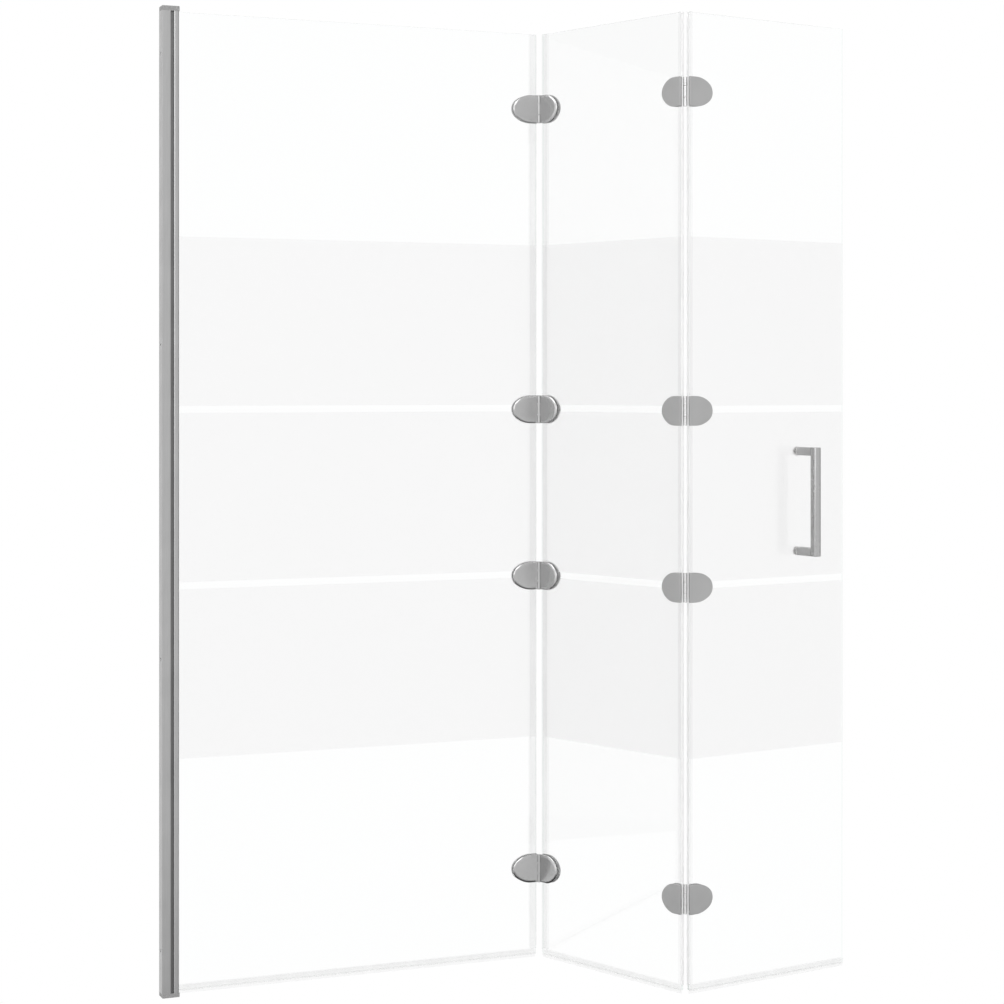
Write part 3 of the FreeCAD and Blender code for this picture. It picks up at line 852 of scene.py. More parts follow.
@dataclass
class WallProfile:
    """The wall channel, the glass profile that slides in it, their caps and their fixings."""

    shop: Workshop
    channel_depth: float = 12.5
    half_width: float = 9.0
    channel_wall: float = 1.5
    channel_back: float = 2.0
    lip_radius: float = 0.7
    leg_start: float = 4.0
    leg_outer: float = 7.2
    leg_inner: float = 5.6
    web: float = 1.5
    head_start: float = 16.5
    head_end: float = 25.0
    head_radius: float = 3.0
    slot_half: float = 3.5
    soft_edge: float = 0.3
    wall_hole_radius: float = 2.5
    wall_hole_heights: tuple[float, ...] = (60.0, 471.58, 915.42, 1327.0)
    drill_overrun: float = 1.0
    fixing_x: float = 8.0
    fixing_hole_radius: float = 1.8
    fixing_drill: tuple[float, float] = (4.6, 10.0)
    fixing_shares: tuple[float, ...] = (0.08, 0.5, 0.92)
    cap_radius: float = 4.4
    cap_height: float = 2.6
    cap_hollow_radius: float = 3.5
    cap_hollow_depth: float = 1.7
    cap_dome: float = 0.35
    cap_dome_shares: tuple[float, ...] = (0.8, 0.6, 0.4, 0.2)
    cap_edge: float = 0.6
    cap_edge_steps: int = 4

    def build(self) -> None:
        """Build and dress everything at the wall."""
        self.channel()
        self.glass_profile()
        self.fixing_caps()
        palette = self.shop.palette
        paint("top_cap", palette.cap)
        paint("bottom_cap", palette.cap)
        paint("glazing_gasket_front", palette.glazing)
        paint("glazing_gasket_rear", palette.glazing)
        paint("fixing_screws", palette.steel)

    def upright_run(self) -> list[tuple[Vector, Vector]]:
        """Return the one run of both extrusions."""
        return [(Vector((0, 0, 0)), Vector((0, 0, LAYOUT.length)))]

    def fixing_heights(self) -> list[float]:
        """Return the heights of the fixing screws."""
        return [share * LAYOUT.length for share in self.fixing_shares]

    def fixing_rods(self) -> Shells:
        """Return rods for the fixing holes on the bath side."""
        rods = Shells()
        for z in self.fixing_heights():
            rods.loft([circle_row(self.fixing_hole_radius, self.fixing_x, y, z) for y in self.fixing_drill])
        return rods

    def channel(self) -> None:
        """Draw the wall channel and drill its holes."""
        half, inner, soft = self.half_width, self.half_width - self.channel_wall, self.soft_edge
        lip, depth, back, over = self.lip_radius, self.channel_depth, self.channel_back, self.drill_overrun
        upper = [(0, half, soft), (depth, half, lip), (depth, inner, soft), (back, inner, soft)]
        outline = rounded(upper + [(x, -y, radius) for x, y, radius in reversed(upper)])
        finish = self.shop.palette.profile
        piece = self.shop.strip.draw("wall_channel_drawn", outline, self.upright_run(), 0.0, finish)
        rods = self.fixing_rods()
        for z in self.wall_hole_heights:
            rows = [circle_row(self.wall_hole_radius, 0.0, x, 0.0) for x in (-over, back + over)]
            rods.loft([np.column_stack((row[:, 1], row[:, 0], row[:, 2] + z)) for row in rows])
        drill(piece, rods.object("channel_holes"))
        piece.data.materials.append(self.shop.palette.drilled)
        for polygon in piece.data.polygons:
            x, y = polygon.center.x / MM, abs(polygon.center.y) / MM
            across = math.hypot(polygon.normal.y, polygon.normal.z) > FACING_SHARE
            if across and x < back and y < self.wall_hole_radius + soft:
                polygon.material_index = 1
        settle(piece, Body.WALL_SIDE, ["wall_channel"])

    def glass_profile(self) -> None:
        """Draw the glass profile, drill it and paint shade onto its neck."""
        soft, depth = self.soft_edge / 2, self.channel_depth
        upper = [
            (depth - self.web, self.leg_inner, soft), (self.leg_start, self.leg_inner, soft),
            (self.leg_start, self.leg_outer, soft), (depth, self.leg_outer, soft),
            (depth, self.leg_inner, soft), (self.head_start, self.leg_inner, soft),
            (self.head_start, self.half_width, self.head_radius),
            (self.head_end, self.half_width, self.head_radius), (self.head_end, self.slot_half, soft),
            (depth, self.slot_half, soft),
        ]
        outline = rounded(upper + [(x, -y, radius) for x, y, radius in reversed(upper)])
        finish = self.shop.palette.profile
        piece = self.shop.strip.draw("glass_profile_drawn", outline, self.upright_run(), 0.0, finish)
        drill(piece, self.fixing_rods().object("profile_holes"))
        # The neck faces in the groove between the channel and the head take the dark finish, a painted
        # shade.
        piece.data.materials.append(self.shop.palette.neck)
        for polygon in piece.data.polygons:
            x, y = polygon.center.x / MM, abs(polygon.center.y) / MM
            between = depth - soft < x < self.head_start + soft
            if between and self.slot_half + soft < y < self.half_width - self.head_radius:
                polygon.material_index = 1
        settle(piece, Body.WALL_SIDE, ["glass_profile"])

    def fixing_caps(self) -> None:
        """Turn one domed snap cap and repeat it over the fixing screws."""
        base, soft, rim = self.half_width, self.cap_edge, self.cap_radius
        top = base + self.cap_height - self.cap_dome
        profile = [(self.cap_hollow_radius, base), (rim, base), (rim, top - soft)]
        for step in range(1, self.cap_edge_steps + 1):
            turn = step / self.cap_edge_steps * QUARTER_TURN
            profile.append((rim - soft * (1 - math.cos(turn)), top - soft * (1 - math.sin(turn))))
        reach = rim - soft
        for share in self.cap_dome_shares:
            profile.append((reach * share, top + self.cap_dome * (1 - share ** 2)))
        hollow = base + self.cap_hollow_depth
        rows = [circle_row(self.cap_hollow_radius, self.fixing_x, hollow, 0.0)]
        rows += [circle_row(radius, self.fixing_x, y, 0.0) for radius, y in profile]
        cap = Shells()
        cap.loft(rows)
        piece = cap.object("fixing_caps_domed")
        self.shop.even_row.repeat(piece, self.fixing_heights(), self.shop.palette.cap)
        settle(piece, Body.WALL_SIDE, ["fixing_screw_caps"])


@dataclass
class FoldSeal:
    """A clear U-shaped seal on one upright glass edge, cut out at the hinges, where its web may run on."""

    fold_x: float
    side: Side
    gap: float
    leg: float
    wall: float = 0.8
    soft_edge: float = 0.3
    soft_steps: int = 3
    hinge_clear: float = 21.0
    end_gap: float = 0.8
    foot: float = 9.0
    web_runs_on: bool = False
    web_half: float = 1.8
    web_end_gap: float = 0.05

    def draw(self, shop: Workshop, name: str, body: Body, node: str) -> None:
        """Draw the seal and hand it to its body.

        Args:
            shop: the shared finishes and trees.
            name: the piece's name.
            body: the body it rides on.
            node: the CAD node it stands for.
        """
        inner, outer = LAYOUT.half_glass, LAYOUT.half_glass + self.wall
        start, end, soft = self.gap - self.wall, self.gap + self.leg, self.soft_edge
        section = [
            (start, -outer, soft), (end, -outer, soft), (end, -inner, 0.0), (self.gap, -inner, 0.0),
            (self.gap, inner, 0.0), (end, inner, 0.0), (end, outer, soft), (start, outer, soft),
        ]
        outline = self.across(section)
        stops = [self.foot]
        for z in LAYOUT.hinge_heights:
            stops += [z - self.hinge_clear, z + self.hinge_clear]
        stops.append(LAYOUT.length + self.end_gap)
        runs = [(Vector((0, 0, low)), Vector((0, 0, high))) for low, high in zip(stops[::2], stops[1::2])]
        piece = shop.strip.draw(name, outline, runs, self.end_gap, shop.palette.seal)
        if self.web_runs_on:
            join_in(piece, self.webs(shop, name))
            self.cloud_web(piece, shop.palette.seal_web)
        settle(piece, body, [node])

    def across(self, corners: list[tuple[float, float, float]]) -> np.ndarray:
        """Return a rounded outline on this seal's side of the fold.

        Args:
            corners: distance from the fold, place across the glass and radius of each corner.

        Returns:
            The outline's points.
        """
        return rounded([(self.fold_x + self.side.value * u, y, r) for u, y, r in corners], self.soft_steps)

    def cloud_web(self, piece: bpy.types.Object, material: bpy.types.Material) -> None:
        """Give the web, which is moulded on in a softer milky grade, its own finish.

        Args:
            piece: the seal in the flat screen.
            material: the web's finish.
        """
        piece.data.materials.append(material)
        for polygon in piece.data.polygons:
            if abs(polygon.center.x / MM - self.fold_x) < self.gap + self.soft_edge / 2:
                polygon.material_index = 1

    def webs(self, shop: Workshop, name: str) -> bpy.types.Object:
        """Draw the web where it runs on past the hinges.

        Args:
            shop: the shared finishes and trees.
            name: the seal's name.

        Returns:
            The lengths of web as one object.
        """
        half, soft = self.web_half, self.soft_edge
        corners = [(self.gap - self.wall, -half, soft), (self.gap, -half, 0.0), (self.gap, half, 0.0),
                   (self.gap - self.wall, half, soft)]
        outline = self.across(corners)
        reach = self.hinge_clear + self.end_gap
        runs = [(Vector((0, 0, z - reach)), Vector((0, 0, z + reach))) for z in LAYOUT.hinge_heights]
        return shop.strip.draw(name + "_webs", outline, runs, self.web_end_gap, shop.palette.seal)


@dataclass
class FootSeal:
    """A clear seal on the glass foot with a drip fin that tapers to its lip."""

    x_low: float
    x_high: float
    wall: float = 0.8
    leg: float = 7.0
    fin: float = 4.2
    fin_root: float = 1.2
    soft_edge: float = 0.3
    soft_steps: int = 3

    def draw(self, shop: Workshop, name: str, body: Body, node: str) -> None:
        """Draw the seal and hand it to its body.

        Args:
            shop: the shared finishes and trees.
            name: the piece's name.
            body: the body it rides on.
            node: the CAD node it stands for.
        """
        inner, outer, soft = LAYOUT.half_glass, LAYOUT.half_glass + self.wall, self.soft_edge
        top, floor = LAYOUT.glass_foot + self.leg, LAYOUT.glass_foot - self.wall
        tip, root = floor - self.fin, self.fin_root
        half = [
            (root / 2, tip, soft), (root, floor, soft), (outer, floor, soft), (outer, top, soft),
            (inner, top, 0.0), (inner, LAYOUT.glass_foot, 0.0),
        ]
        section = half + [(-y, z, radius) for y, z, radius in reversed(half)]
        outline = rounded([(-y, -z, radius) for y, z, radius in section], self.soft_steps)
        runs = [(Vector((self.x_low, 0, 0)), Vector((self.x_high, 0, 0)))]
        piece = shop.strip.draw(name, outline, runs, 0.0, shop.palette.foot_seal)
        settle(piece, body, [node])


@dataclass
class GlassPane:
    """One glass with ground edges, drilled for its hinges, with three etched bands."""

    x_low: float
    x_high: float
    hinge_folds: list[tuple[float, Side]]
    handle_holes: list[tuple[float, float, float]] = field(default_factory=list)
    film: float = 0.02
    arris: float = 0.4
    bands: tuple[tuple[float, float], ...] = ((329.0, 569.0), (579.0, 819.0), (829.0, 1069.0))
    clamp_u: float = 16.0
    clamp_w: float = 10.0
    clamp_hole_radius: float = 4.5
    drill_half: float = 5.0
    edge_share: float = 0.3

    def draw(self, shop: Workshop, name: str, body: Body, node: str) -> None:
        """Build the pane and hand it to its body.

        Args:
            shop: the shared finishes and trees.
            name: the piece's name.
            body: the body it rides on.
            node: the CAD node it stands for.
        """
        half = LAYOUT.half_glass - self.film
        low = Vector((self.x_low + self.film, -half, LAYOUT.glass_foot + self.film)) * MM
        high = Vector((self.x_high - self.film, half, LAYOUT.length)) * MM
        work = bmesh.new()
        bmesh.ops.create_cube(work, size=1.0)
        for vertex in work.verts:
            vertex.co = Vector((a if c < 0 else b) for a, b, c in zip(low, high, vertex.co))
        bmesh.ops.bevel(work, geom=work.edges[:], offset=self.arris * MM, segments=1, affect="EDGES")
        for z in (edge for band in self.bands for edge in band):
            whole = work.verts[:] + work.edges[:] + work.faces[:]
            bmesh.ops.bisect_plane(work, geom=whole, plane_co=(0, 0, z * MM), plane_no=(0, 0, 1))
        mesh = bpy.data.meshes.new(name)
        work.to_mesh(mesh)
        work.free()
        piece = bpy.data.objects.new(name, mesh)
        bpy.context.scene.collection.objects.link(piece)
        drill(piece, self.holes().object(name + "_holes"))
        self.zone(piece, shop.palette)
        settle(piece, body, [node], sharp_deg=0.0)

    def holes(self) -> Shells:
        """Make the rods of every hole in the pane.

        Returns:
            The rods, which stand out on both faces.
        """
        places = list(self.handle_holes)
        for fold_x, side in self.hinge_folds:
            for z in LAYOUT.hinge_heights:
                for w in (-self.clamp_w, self.clamp_w):
                    places.append((fold_x + side.value * self.clamp_u, z + w, self.clamp_hole_radius))
        rods = Shells()
        for x, z, radius in places:
            rods.loft([circle_row(radius, x, y, z) for y in (-self.drill_half, self.drill_half)])
        return rods

    def zone(self, piece: bpy.types.Object, palette: Palette) -> None:
        """Dress the faces: clear, etched in the bands, ground on the edges inside their clear arris.

        Args:
            piece: the pane in the flat screen.
            palette: the finishes.
        """
        mesh = piece.data
        mesh.materials.clear()
        for material in (palette.clear_glass, palette.etched_glass, palette.glass_edge):
            mesh.materials.append(material)
        for polygon in mesh.polygons:
            z, facing = polygon.center.z / MM, abs(polygon.normal.y)
            if facing < self.edge_share:
                polygon.material_index = 2
            elif facing < FACING_SHARE:
                polygon.material_index = 0
            else:
                polygon.material_index = int(any(low < z < high for low, high in self.bands))


@dataclass(frozen=True)
class HalfOval:
    """The outline of the hinge plates: straight at the fold and up to its shoulders, then three arcs."""

    reach: float = 41.5
    half_height: float = 21.0
    shoulder: float = 12.0
    tip_share: float = 0.78
    side_steps: int = 12
    tip_steps: int = 12
    corner_steps: int = 5

    def outline(self, edge: float, inset: float, corner: float = 0.0) -> np.ndarray:
        """Return the outline's points, from the fold's upper end round the tip to its lower end.

        Args:
            edge: the straight side's distance from the fold axis.
            inset: how far the outline is drawn in.
            corner: radius of the corners at the straight side, or 0.

        Returns:
            Points as distance from the axis and height.
        """
        half, tip = self.half_height - inset, self.tip_share * self.half_height - inset
        tip_u = self.reach - inset - tip
        run = tip_u - self.shoulder
        radius = (run ** 2 + half ** 2 - tip ** 2) / (2 * (half - tip))
        centre_w = half - radius
        start, join = QUARTER_TURN, math.atan2(-centre_w, run)
        upper: list[tuple[float, float]] = []
        if corner:
            for step in range(self.corner_steps + 1):
                turn = math.pi - start * step / self.corner_steps
                u, w = edge + corner * (1 + math.cos(turn)), half - corner * (1 - math.sin(turn))
                upper.append((u, w))
        else:
            upper.append((edge, half))
        for step in range(self.side_steps):
            turn = start + (join - start) * step / self.side_steps
            upper.append((self.shoulder + radius * math.cos(turn), centre_w + radius * math.sin(turn)))
        for step in range(self.tip_steps):
            turn = join * (1 - step / self.tip_steps)
            upper.append((tip_u + tip * math.cos(turn), tip * math.sin(turn)))
        lower = [(u, -w) for u, w in reversed(upper)]
        return np.array(upper + [(tip_u + tip, 0.0)] + lower)

    def row(self, edge: float, inset: float, height: float, corner: float = 0.0) -> np.ndarray:
        """Return the outline at a height over the glass face, as points in space."""
        flat = self.outline(edge, inset, corner)
        return np.column_stack((flat[:, 0], np.full(len(flat), LAYOUT.half_glass + height), flat[:, 1]))


@dataclass
class HingeSide:
    """One side of a fold's four hinges: polished leaves in the valley, satin covers on the ridge."""

    shop: Workshop
    name: str
    body: Body
    fold_x: float
    side: Side
    valley: Face
    owns_pin: bool
    oval: HalfOval = field(default_factory=HalfOval)
    leaf_edge: float = 2.9
    gasket: float = 0.5
    leaf_rim: float = 0.5
    leaf_chamfer: float = 0.15
    leaf_thickness: float = 2.0
    bevel_start_deg: float = 42.0
    bevel_steps: int = 9
    face_margin: float = 0.4
    axis_height: float = 4.6
    knuckle_radius: float = 2.6
    knuckle_bevel: float = 0.3
    roll_start_deg: float = -2.2
    roll_stop_deg: float = 306.1
    roll_steps: int = 34
    bore_close_deg: tuple[float, float] = (339.0, 357.0)
    outer_bore: float = 1.27
    middle_bore: float = 1.77
    outer_knuckle: float = 12.6
    middle_half: float = 8.0
    arm_reach: float = 5.5
    boss_radius: float = 3.6
    boss_low: float = -1.4
    boss_high: float = 3.0
    clamp_u: float = 16.0
    clamp_w: float = 10.0
    cover_edge: float = 0.4
    cover_height: float = 3.6
    cover_wall: float = 0.8
    cover_ceiling: float = 1.9
    cover_corner: float = 1.6
    cover_round: float = 0.55
    cover_steps: int = 5
    cover_crown: float = 0.12
    crown_corner: float = 0.4
    crown_rows: tuple[tuple[float, float], ...] = (
        (1.2, 0.35), (2.6, 0.6), (4.6, 0.85), (7.2, 1.0), (8.0, 1.0),
    )

    def build(self) -> None:
        """Build the leaves and the covers, and hand them to their body."""
        leaf = self.leaf().object(self.name + "_leaves_polished")
        self.place(leaf, self.valley)
        self.shop.hinge_row.repeat(leaf, self.shop.palette.leaf)
        # Only the knuckles in the gap at the second fold take the painted light.
        if self.valley is Face.BATH:
            self.brighten(leaf)
        numbers = range(1, len(LAYOUT.hinge_heights) + 1)
        settle(leaf, self.body, [f"{self.name}_leaf_{number}" for number in numbers])
        cover = self.cover().object(self.name + "_covers_satin")
        self.place(cover, Face(-self.valley.value))
        self.shop.hinge_row.repeat(cover, self.shop.palette.cover)
        settle(cover, self.body, [self.name + "_covers"])

    def place(self, piece: bpy.types.Object, face: Face) -> None:
        """Carry a piece from its own frame to its side of the fold and its face of the glass.

        Args:
            piece: the piece, at +X of the fold axis and on the +Y face.
            face: the face it belongs on.
        """
        across, through = self.side.value, face.value
        flip = Matrix.Diagonal((across, through, across * through, 1.0))
        piece.data.transform(Matrix.Translation((self.fold_x * MM, 0.0, 0.0)) @ flip)

    def leaf(self) -> Shells:
        """Make a leaf: its pillowed plate, its knuckles and its two bosses.

        Returns:
            The leaf's shells, about its hinge's middle.
        """
        made = Shells()
        edge, chamfer, foot = self.leaf_edge, self.leaf_chamfer, self.gasket + self.leaf_rim
        start = math.radians(self.bevel_start_deg)
        radius = (self.leaf_thickness - self.leaf_rim) / (1 - math.cos(start))
        rows = [self.oval.row(edge, chamfer, self.gasket), self.oval.row(edge, 0.0, self.gasket + chamfer)]
        for step in range(self.bevel_steps + 1):
            slope = start * (1 - step / self.bevel_steps)
            inset = radius * (math.sin(start) - math.sin(slope))
            rows.append(self.oval.row(edge, inset, foot + radius * (math.cos(slope) - math.cos(start))))
        face = radius * math.sin(start) + self.face_margin
        rows.append(self.oval.row(edge, face, self.gasket + self.leaf_thickness))
        made.loft(rows)
        half, bore = self.oval.half_height, self.middle_bore
        spans = [(-self.middle_half, self.middle_half)]
        if self.owns_pin:
            bore = self.outer_bore
            spans = [(-half, self.outer_knuckle - half), (half - self.outer_knuckle, half)]
        for low, high in spans:
            made.loft(self.knuckle(low, high, bore), ring=True)
        ends = (self.boss_low, self.boss_high)
        for w in (-self.clamp_w, self.clamp_w):
            made.loft([circle_row(self.boss_radius, self.clamp_u, y, w) for y in ends])
        return made

    def brighten(self, leaves: bpy.types.Object) -> None:
        """Give the rolled knuckles that show between the covers a lighter copy of the leaf's metal, a
        painted light that makes the gap between the covers read light.

        Args:
            leaves: the leaves in the flat screen.
        """
        leaves.data.materials.append(self.shop.palette.knuckle)
        axis_y = self.valley.value * self.axis_height
        # The faces of the knuckle barrels take the painted-light finish.
        for polygon in leaves.data.polygons:
            across, through = polygon.center.x / MM - self.fold_x, polygon.center.y / MM - axis_y
            if math.hypot(across, through) < self.knuckle_radius + self.knuckle_bevel:
                polygon.material_index = 1

    def knuckle(self, low: float, high: float, bore: float) -> list[np.ndarray]:
        """Return the rows of one rolled knuckle with its bore and its arm into the plate.

        Args:
            low: the knuckle's foot.
            high: its top.
            bore: the bore's radius.

        Returns:
            Rows that join into a ring.
        """
        start, stop = math.radians(self.roll_start_deg), math.radians(self.roll_stop_deg)
        turns = np.linspace(start, stop, self.roll_steps)
        arm_low = self.knuckle_radius * math.sin(stop)
        arm = np.array(((self.arm_reach, arm_low), (self.arm_reach, self.arm_reach * math.tan(start))))
        bores = np.concatenate((turns, np.radians(self.bore_close_deg)))

        def outer(radius: float, z: float) -> np.ndarray:
            """Return the outline of barrel and arm at a height."""
            flat = np.vstack((radius * np.column_stack((np.cos(turns), np.sin(turns))), arm))
            return np.column_stack((flat[:, 0], flat[:, 1] + self.axis_height, np.full(len(flat), z)))

        def inner(z: float) -> np.ndarray:
            """Return the bore's outline at a height."""
            flat = bore * np.column_stack((np.cos(bores), np.sin(bores)))
            return np.column_stack((flat[:, 0], flat[:, 1] + self.axis_height, np.full(len(flat), z)))

        bevel, radius = self.knuckle_bevel, self.knuckle_radius
        return [
            outer(radius - bevel, low), outer(radius, low + bevel), outer(radius, high - bevel),
            outer(radius - bevel, high), inner(high), inner(low),
        ]

    def cover(self) -> Shells:
        """Make a cover: a thin tray with rounded rim and corners and a faintly crowned top.

        Returns:
            The cover's shell, about its hinge's middle.
        """
        edge, wall, corner, soft = self.cover_edge, self.cover_wall, self.cover_corner, self.cover_round
        rows = [
            self.oval.row(edge + wall, wall, self.cover_ceiling, corner - wall),
            self.oval.row(edge + wall, wall, self.gasket, corner - wall),
            self.oval.row(edge, 0.0, self.gasket, corner),
        ]
        shoulder = self.cover_height - soft - self.cover_crown
        for step in range(self.cover_steps + 1):
            turn = step / self.cover_steps * QUARTER_TURN
            inset = soft * (1 - math.cos(turn))
            rows.append(self.oval.row(edge + inset, inset, shoulder + soft * math.sin(turn), corner - inset))
        for inset, share in self.crown_rows:
            height = self.cover_height - self.cover_crown * (1 - share)
            rows.append(self.oval.row(edge + inset, inset, height, self.crown_corner))
        made = Shells()
        made.loft(rows)
        return made


@dataclass
class HingeInsides:
    """The pieces inside the hinges that keep their CAD shape: gaskets, plates, screws, pins, bushes."""

    shop: Workshop

    def build(self) -> None:
        """Paint every inner piece of the hinges."""
        palette = self.shop.palette
        for panel in ("fixed", "middle", "end"):
            paint(panel + "_leaf_gaskets", palette.gasket)
            paint(panel + "_clamp_plates", palette.plate)
            paint(panel + "_clamp_screws", palette.steel)
        for fold in ("fold_1", "fold_2"):
            paint(fold + "_pins", palette.steel)
            paint(fold + "_bushes", palette.white)


@dataclass
class Handle:
    """The square pull on the end panel: bar, posts, washers, and the discs and screws behind the glass."""

    shop: Workshop
    body: Body = Body.END_PANEL
    x: float = 1075.0
    section: float = 12.0
    edge_radius: float = 1.4
    front_radius: float = 4.45
    least_radius: float = 0.2
    corner_steps: int = 8
    end_radius: float = 0.9
    end_margin: float = 2.2
    end_steps: int = 5
    low: float = 610.0
    high: float = 768.0
    bar_back: float = -33.5
    bar_front: float = -45.5
    post_foot: float = -3.0
    bar_bite: float = 0.3
    disc_foot: float = 3.0
    disc_top: float = 6.0
    disc_radius: float = 6.4
    disc_edge: float = 0.8
    disc_bore: float = 2.7
    disc_points: int = 48
    sink_radius: float = 4.7
    sink_chamfer: float = 0.2
    head_radius: float = 4.5
    head_foot: float = 4.0
    head_edge: float = 0.35
    head_arc_share: float = 0.3
    socket_flats: int = 6
    socket_flat: float = 1.5
    socket_depth: float = 1.2
    shank_radius: float = 2.5
    shank_tip: float = -15.0
    shank_chamfer: float = 0.5

    def build(self) -> None:
        """Build the handle and hand it to its body."""
        palette = self.shop.palette
        bar = self.bar().object("handle_bar_brushed")
        bar.data.materials.append(palette.handle_bar)
        settle(bar, self.body, ["handle_bar"])
        heights = [self.low + self.section / 2, self.high - self.section / 2]
        for node, slot, shells, material in (
            ("handle_posts", "handle_metal", self.post(), palette.handle_post),
            ("handle_rosettes", "white_plastic", self.disc(), palette.white),
            ("handle_screws", "steel", self.screw(), palette.steel),
        ):
            piece = shells.object(node + "_finished")
            self.shop.even_row.repeat(piece, heights, material)
            settle(piece, self.body, [node])
        paint("handle_washers", palette.white)

    def square(self, inset: float, front_radius: float) -> np.ndarray:
        """Return the square section about its centre, its front corners with a radius of their own."""
        half = self.section / 2 - inset
        front, back = (max(radius - inset, self.least_radius) for radius in (front_radius, self.edge_radius))
        corners = [(-half, -half, front), (half, -half, front), (half, half, back), (-half, half, back)]
        return rounded(corners, self.corner_steps)

    def arc(self) -> list[float]:
        """Return the steps of a rounded edge, as turns up to a quarter."""
        return [step / self.end_steps * QUARTER_TURN for step in range(1, self.end_steps + 1)]

    def bar(self) -> Shells:
        """Make the grip with softened ends.

        Returns:
            The grip's shell, in its place.
        """
        middle = (self.bar_back + self.bar_front) / 2
        soft = self.end_radius
        steps = [(self.end_margin, self.low), (soft, self.low)]
        for turn in self.arc():
            steps.append((soft * (1 - math.sin(turn)), self.low + soft * (1 - math.cos(turn))))
        steps += [(inset, self.low + self.high - z) for inset, z in reversed(steps)]
        rows = []
        for inset, z in steps:
            flat = self.square(inset, self.front_radius)
            rows.append(np.column_stack((flat[:, 0] + self.x, flat[:, 1] + middle, np.full(len(flat), z))))
        made = Shells()
        made.loft(rows)
        return made

    def post(self) -> Shells:
        """Make one post at height 0, its end let into the bar.

        Returns:
            The post's shell.
        """
        flat = self.square(0.0, self.edge_radius)
        rows = [np.column_stack((flat[:, 0] + self.x, np.full(len(flat), y), flat[:, 1]))
                for y in (self.bar_back - self.bar_bite, self.post_foot)]
        made = Shells()
        made.loft(rows)
        return made

    def disc(self) -> Shells:
        """Make one disc at height 0, sunk for its screw head.

        Returns:
            The disc's shell.
        """
        foot, top, soft, rim = self.disc_foot, self.disc_top, self.disc_edge, self.disc_radius
        sink, chamfer = self.sink_radius, self.sink_chamfer
        profile = [(self.disc_bore, foot), (rim, foot), (rim, top - soft)]
        for turn in self.arc():
            profile.append((rim - soft * (1 - math.cos(turn)), top - soft * (1 - math.sin(turn))))
        profile += [
            (sink + chamfer, top), (sink, top - chamfer),
            (sink, self.head_foot), (self.disc_bore, self.head_foot),
        ]
        made = Shells()
        made.loft([circle_row(radius, self.x, y, 0.0, self.disc_points) for radius, y in profile], ring=True)
        return made

    def screw(self) -> Shells:
        """Make one screw at height 0, with a six-sided socket in its head.

        Returns:
            The screw's shell.
        """
        top, soft, tip, chamfer = self.disc_top, self.head_edge, self.shank_tip, self.shank_chamfer
        shank, head, arc = self.shank_radius, self.head_radius, soft * self.head_arc_share
        plain = [
            (shank - chamfer, tip), (shank, tip + chamfer), (shank, self.head_foot), (head, self.head_foot),
            (head, top - soft), (head - arc, top - arc), (head - soft, top),
        ]
        rows = [circle_row(radius, self.x, y, 0.0) for radius, y in plain]
        for y in (top, top - self.socket_depth):
            rows.append(circle_row(self.socket_flat, self.x, y, 0.0, flats=self.socket_flats))
        made = Shells()
        made.loft(rows)
        return made


@dataclass(frozen=True)
class Lamp:
    """One soft lamp: its place, its aim, its size in metres and its power."""

    name: str
    place: tuple[float, float, float]
    aim: tuple[float, float, float]
    size: tuple[float, float]
    power: float

    def build(self) -> None:
        """Hang the lamp."""
        data = bpy.data.lights.new(self.name, "AREA")
        data.shape = "RECTANGLE"
        data.size, data.size_y = self.size
        data.energy = self.power
        lamp = bpy.data.objects.new(self.name, data)
        lamp.location = self.place
        lamp.rotation_euler = (Vector(self.aim) - Vector(self.place)).to_track_quat("-Z", "Y").to_euler()
        lamp.visible_camera = False
        lamp.visible_glossy = False
        lamp.visible_transmission = False
        bpy.context.scene.collection.objects.link(lamp)


@dataclass(frozen=True)
class Card:
    """A card in the room that only polished surfaces see, bright, grey or dark."""

    name: str
    corners: tuple[tuple[float, float, float], ...]
    level: float
    mirrors_below: float = 0.5

    def build(self) -> None:
        """Set up the card, clear for every ray that hasn't met a mirror yet."""
        card = mesh_object(self.name, np.array(self.corners) / MM, [], [tuple(range(len(self.corners)))])
        material = bpy.data.materials.new(self.name)
        material.use_nodes = True
        nodes = Nodes(material.node_tree)
        glow = nodes.add("ShaderNodeEmission")
        glow.inputs["Strength"].default_value = self.level
        rays = nodes.add("ShaderNodeLightPath")
        mirrored = nodes.add("ShaderNodeMath", operation="GREATER_THAN")
        mirrored.inputs[1].default_value = self.mirrors_below
        clear = nodes.add("ShaderNodeBsdfTransparent")
        blend = nodes.add("ShaderNodeMixShader")
        nodes.join(rays.outputs["Glossy Depth"], mirrored.inputs[0])
        nodes.join(mirrored.outputs["Value"], blend.inputs[0])
        nodes.join(clear.outputs["BSDF"], blend.inputs[1])
        nodes.join(glow.outputs["Emission"], blend.inputs[2])
        nodes.join(blend.outputs["Shader"], material.node_tree.nodes["Material Output"].inputs["Surface"])
        card.data.materials.append(material)
        card.visible_camera = False
        card.visible_diffuse = False
        card.visible_shadow = False


